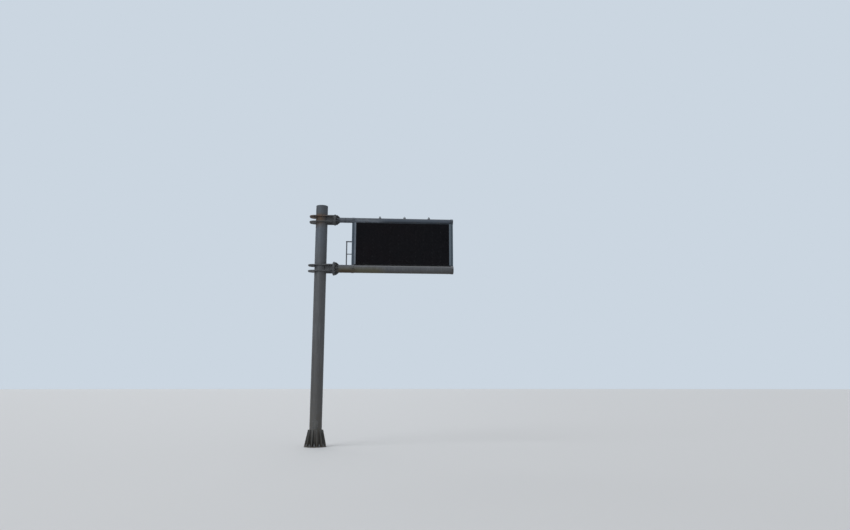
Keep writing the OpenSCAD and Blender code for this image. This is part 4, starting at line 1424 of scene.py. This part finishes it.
head = bmesh.new()
hexagon(head, CLIP_BOLT, 0.0, HEAD_HEIGHT * CLIP_BOLT)
washer(head, CLIP_BOLT, 0.0)
clip_head = shape(head)
clips = bmesh.new()
for number in range(GRATING_COUNT):
    low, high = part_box(f"grating_{number + 1}")
    for x in (low.x + CLIP_FROM_END, high.x - CLIP_FROM_END):
        for y in (low.y + CLIP_FROM_SIDE, high.y - CLIP_FROM_SIDE):
            spot = Vector((x, y, high.z))
            if not under_end_post(spot):
                block(clips, spot - CLIP_HALF, spot + CLIP_HALF + CLIP_SHEET, round_off=CLIP_EDGE)
                stamp(clips, clip_head, at(spot + CLIP_SHEET))
piece("grating_clips", clips, bolt_finish)

# %% [markdown]
# ## Rail plugs
# The handrail's two ends are closed with domed plugs. The dome is an outline of four points,
# given in shares of the rail's radius, and the plug's neck goes into the rail.

# %% Rail plugs
PLUG_NECK = 0.004
PLUG_DOME = [(0.98, 0.0), (0.80, 0.22), (0.45, 0.34), (0.0, 0.38)]

outline = [(0.0, -PLUG_NECK), (rail_radius * PLUG_DOME[0][0], -PLUG_NECK)]
outline += [(rail_radius * out, rail_radius * rise) for out, rise in PLUG_DOME]
plug = turned(outline, steps=24)
rail_ends = bmesh.new()
stamp(rail_ends, plug, at((rail_high.x, rail_y, rail_z), QUARTER_TURN, "Y"))
stamp(rail_ends, plug, at((rail_low.x, rail_y, rail_z), -QUARTER_TURN, "Y"))
piece("rail_plugs", rail_ends, walkway_finish)

# %% [markdown]
# ## Rail welds
# Where one round pipe meets another, the weld follows the curve of both. A flat ring that
# lies a little inside the crossing looks the same from a step away, so a post's ring under
# the handrail and the mid rail's rings at each post are sunk by a share of the radius.

# %% Rail welds
UNDER_RAIL = 0.86
BESIDE_POST = 0.93
FOOT_BEAD = 0.003
RAIL_BEAD = 0.0028
MID_BEAD = 0.0025

mid_low, mid_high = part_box("mid_rail")
mid_z = (mid_low.z + mid_high.z) / 2
mid_radius = (mid_high.z - mid_low.z) / 2
rail_welds = bmesh.new()
for x in post_x:
    bead_ring(rail_welds, at((x, rail_y, rail_z - rail_radius * UNDER_RAIL)), rail_radius, RAIL_BEAD)
    bead_ring(rail_welds, at((x, rail_y, foot_z)), rail_radius, FOOT_BEAD)
    for side in (-rail_radius, rail_radius):
        if first_x <= x + side <= last_x:
            spot = (x + side * BESIDE_POST, rail_y, mid_z)
            bead_ring(rail_welds, at(spot, QUARTER_TURN, "Y"), mid_radius, MID_BEAD)
piece("rail_welds", rail_welds, weld_finish)

# %% [markdown]
# ## Toe board bolts
# A U-bolt grips each rail post and holds the toe board against it. The bend is a small
# circle spun through half a turn round the post, and its two legs are rods that go through
# the board to a washer and nut.

# %% Toe board bolts
U_ROD = 0.005
U_LIFT = 0.090
U_LEG_END = 0.018
U_NUT = 0.010

toe_low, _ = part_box("toe_board")
grating_low, grating_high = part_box("grating_1")


def u_bolt(radius, board):
    """A U-bolt round a post on the Z axis; the board's far face lies that far behind it."""
    bm = bmesh.new()
    tilt = Matrix.Translation((radius, 0, 0)) @ Matrix.Rotation(QUARTER_TURN, 4, "X")
    bmesh.ops.create_circle(bm, segments=8, radius=U_ROD, matrix=tilt)
    bmesh.ops.spin(bm, geom=bm.verts[:] + bm.edges[:], cent=(0, 0, 0), axis=UP, dvec=(0, 0, 0),
                   angle=HALF_TURN, steps=14, use_merge=False, use_duplicate=False)
    ends = [edge for edge in bm.edges if edge.is_boundary]
    bmesh.ops.holes_fill(bm, edges=ends, sides=8)
    nut = bmesh.new()
    washer(nut, U_NUT, 0.0)
    hexagon(nut, U_NUT, WASHER_THICKNESS * U_NUT, (WASHER_THICKNESS + NUT_HEIGHT) * U_NUT)
    nut = shape(nut)
    for side in (-radius, radius):
        rod(bm, (side, 0.0, 0), (side, -board - U_LEG_END, 0), U_ROD, sides=8)
        stamp(bm, nut, at((side, -board, 0), QUARTER_TURN, "X"))
    return shape(bm)


clasp = u_bolt(rail_radius + U_ROD, rail_y - toe_low.y)
toe_bolts = bmesh.new()
for x in post_x:
    stamp(toe_bolts, clasp, at((x, rail_y, grating_high.z + U_LIFT)))
piece("toe_bolts", toe_bolts, bolt_finish)

# %% [markdown]
# ## Bracket welds
# The brackets are welded down both sides where their plates meet the lower arm, which is a
# part of a ring again, this time at the arm's back. Its two ends are the angles at which the
# bracket's top and foot leave the arm.

# %% Bracket welds
BRACKET_HALF = 0.005

radius, axis_z = arm_pipe("lower")
top_angle = math.asin((bracket_high.z - axis_z) / radius)
foot_angle = math.asin((bracket_low.z - axis_z) / radius)
outward = Matrix.Rotation((top_angle + foot_angle - HALF_TURN) / 2, 4, "X")
lie = outward @ Matrix.Rotation(-QUARTER_TURN, 4, "Y")
bracket_welds = bmesh.new()
for x in post_x:
    for side in (-BRACKET_HALF, BRACKET_HALF):
        bead_ring(bracket_welds, Matrix.Translation((x + side, 0, axis_z)) @ lie, radius, ARM_BEAD,
                  top_angle - foot_angle)
piece("bracket_welds", bracket_welds, weld_finish)

# %% [markdown]
# ## End rail
# At the walkway's end a short rail closes the side. Its post stands on the grating, on a
# plate with four bolts that go right through. Its two bars are welded to that post and to
# the last post of the long rail.

# %% Bolts and welds of the end rail
END_BOLT_SIDE = 0.035

plate_top = grating_high.z + FOOT_PLATE
end_bolts = bmesh.new()
end_bolt = bolt(RAIL_BOLT, grip=plate_top - grating_low.z)
for shift_x in (-END_BOLT_SIDE, END_BOLT_SIDE):
    for shift_y in (-END_BOLT_SIDE, END_BOLT_SIDE):
        stamp(end_bolts, end_bolt, at((end_x + shift_x, end_y + shift_y, plate_top), HALF_TURN, "X"))
piece("end_rail_bolts", end_bolts, bolt_finish)

end_welds = bmesh.new()
bead_ring(end_welds, at((end_x, end_y, plate_top)), rail_radius, FOOT_BEAD)
bead_ring(end_welds, at((end_x, end_y, rail_z - rail_radius * UNDER_RAIL)), rail_radius, RAIL_BEAD)
for y in (end_y + rail_radius * BESIDE_POST, rail_y - rail_radius * BESIDE_POST):
    bead_ring(end_welds, at((end_x, y, mid_z), QUARTER_TURN, "X"), mid_radius, MID_BEAD)
bar_end = (end_x, rail_y - rail_radius * UNDER_RAIL, rail_z)
bead_ring(end_welds, at(bar_end, QUARTER_TURN, "X"), rail_radius, RAIL_BEAD)
piece("end_rail_welds", end_welds, weld_finish)

# %% [markdown]
# ## Stage
# The floor is plain, pale and large enough to meet the sky at the horizon.

# %% Floor
FLOOR_RADIUS = 900.0

disc = bmesh.new()
bmesh.ops.create_circle(disc, cap_ends=True, segments=64, radius=FLOOR_RADIUS)
floor_mesh = bpy.data.meshes.new("floor")
disc.to_mesh(floor_mesh)
disc.free()
floor = bpy.data.objects.new("floor", floor_mesh)
scene.collection.objects.link(floor)
plaster = Finish("floor_plaster", metallic=0.0)
floor_mesh.materials.append(plaster.paint(linear(200, 201, 202), 0.9))
print("floor ready")

# %% [markdown]
# ## Sky
# The photograph has an overcast sky, bright all over. The world gives the even light. What
# the camera sees behind the object, and what shines in its gloss, is the pale grey-blue of
# that sky, picked out with Light Path.

# %% World
SKY = linear(203, 214, 225)
CLOUD_LIGHT = (0.97, 0.98, 1.0)
WORLD_LEVEL = 0.62

world = bpy.data.worlds.new("overcast")
scene.world = world
world.use_nodes = True
tree = world.node_tree
tree.nodes.clear()
path = node(tree, "LightPath")
seen = node(tree, "Math", {0: path.outputs["Is Camera Ray"], 1: path.outputs["Is Glossy Ray"]},
            operation="MAXIMUM")
seen = node(tree, "Math", {0: seen.outputs[0], 1: path.outputs["Is Transmission Ray"]},
            operation="MAXIMUM")
light = node(tree, "Background", {"Color": (*CLOUD_LIGHT, 1.0), "Strength": WORLD_LEVEL})
view = node(tree, "Background", {"Color": SKY, "Strength": 1.0})
blend = node(tree, "MixShader", {0: seen.outputs[0], 1: light.outputs[0], 2: view.outputs[0]})
node(tree, "OutputWorld", {"Surface": blend.outputs[0]})
print(f"world {WORLD_LEVEL}")

# %% [markdown]
# ## Two soft suns
# The sky is stronger and cooler from the upper left. One broad sun, as soft as cloud and
# slightly blue, shapes the round pipes. A weaker one stands low behind the gantry. It
# reaches nothing that the photograph shows, but without it the doors and the walkway would
# lie in the shade, and their colours would render too dark.

# %% Suns
COOL_LIGHT = (0.93, 0.97, 1.0)
SUN_LEVEL = 1.4
FILL_LEVEL = 1.0


def soft_sun(name, level, spread, color, turn):
    """A sun as wide as its spread in degrees, turned by three angles in degrees."""
    made = bpy.data.objects.new(name, bpy.data.lights.new(name, "SUN"))
    made.data.energy = level
    made.data.angle = math.radians(spread)
    made.data.color = color
    made.rotation_euler = [math.radians(angle) for angle in turn]
    scene.collection.objects.link(made)


soft_sun("sun", SUN_LEVEL, spread=45, color=COOL_LIGHT, turn=(30, -46, 0))
soft_sun("fill", FILL_LEVEL, spread=50, color=CLOUD_LIGHT, turn=(-75, 0, 15))
print(f"sun {SUN_LEVEL}, fill {FILL_LEVEL}")
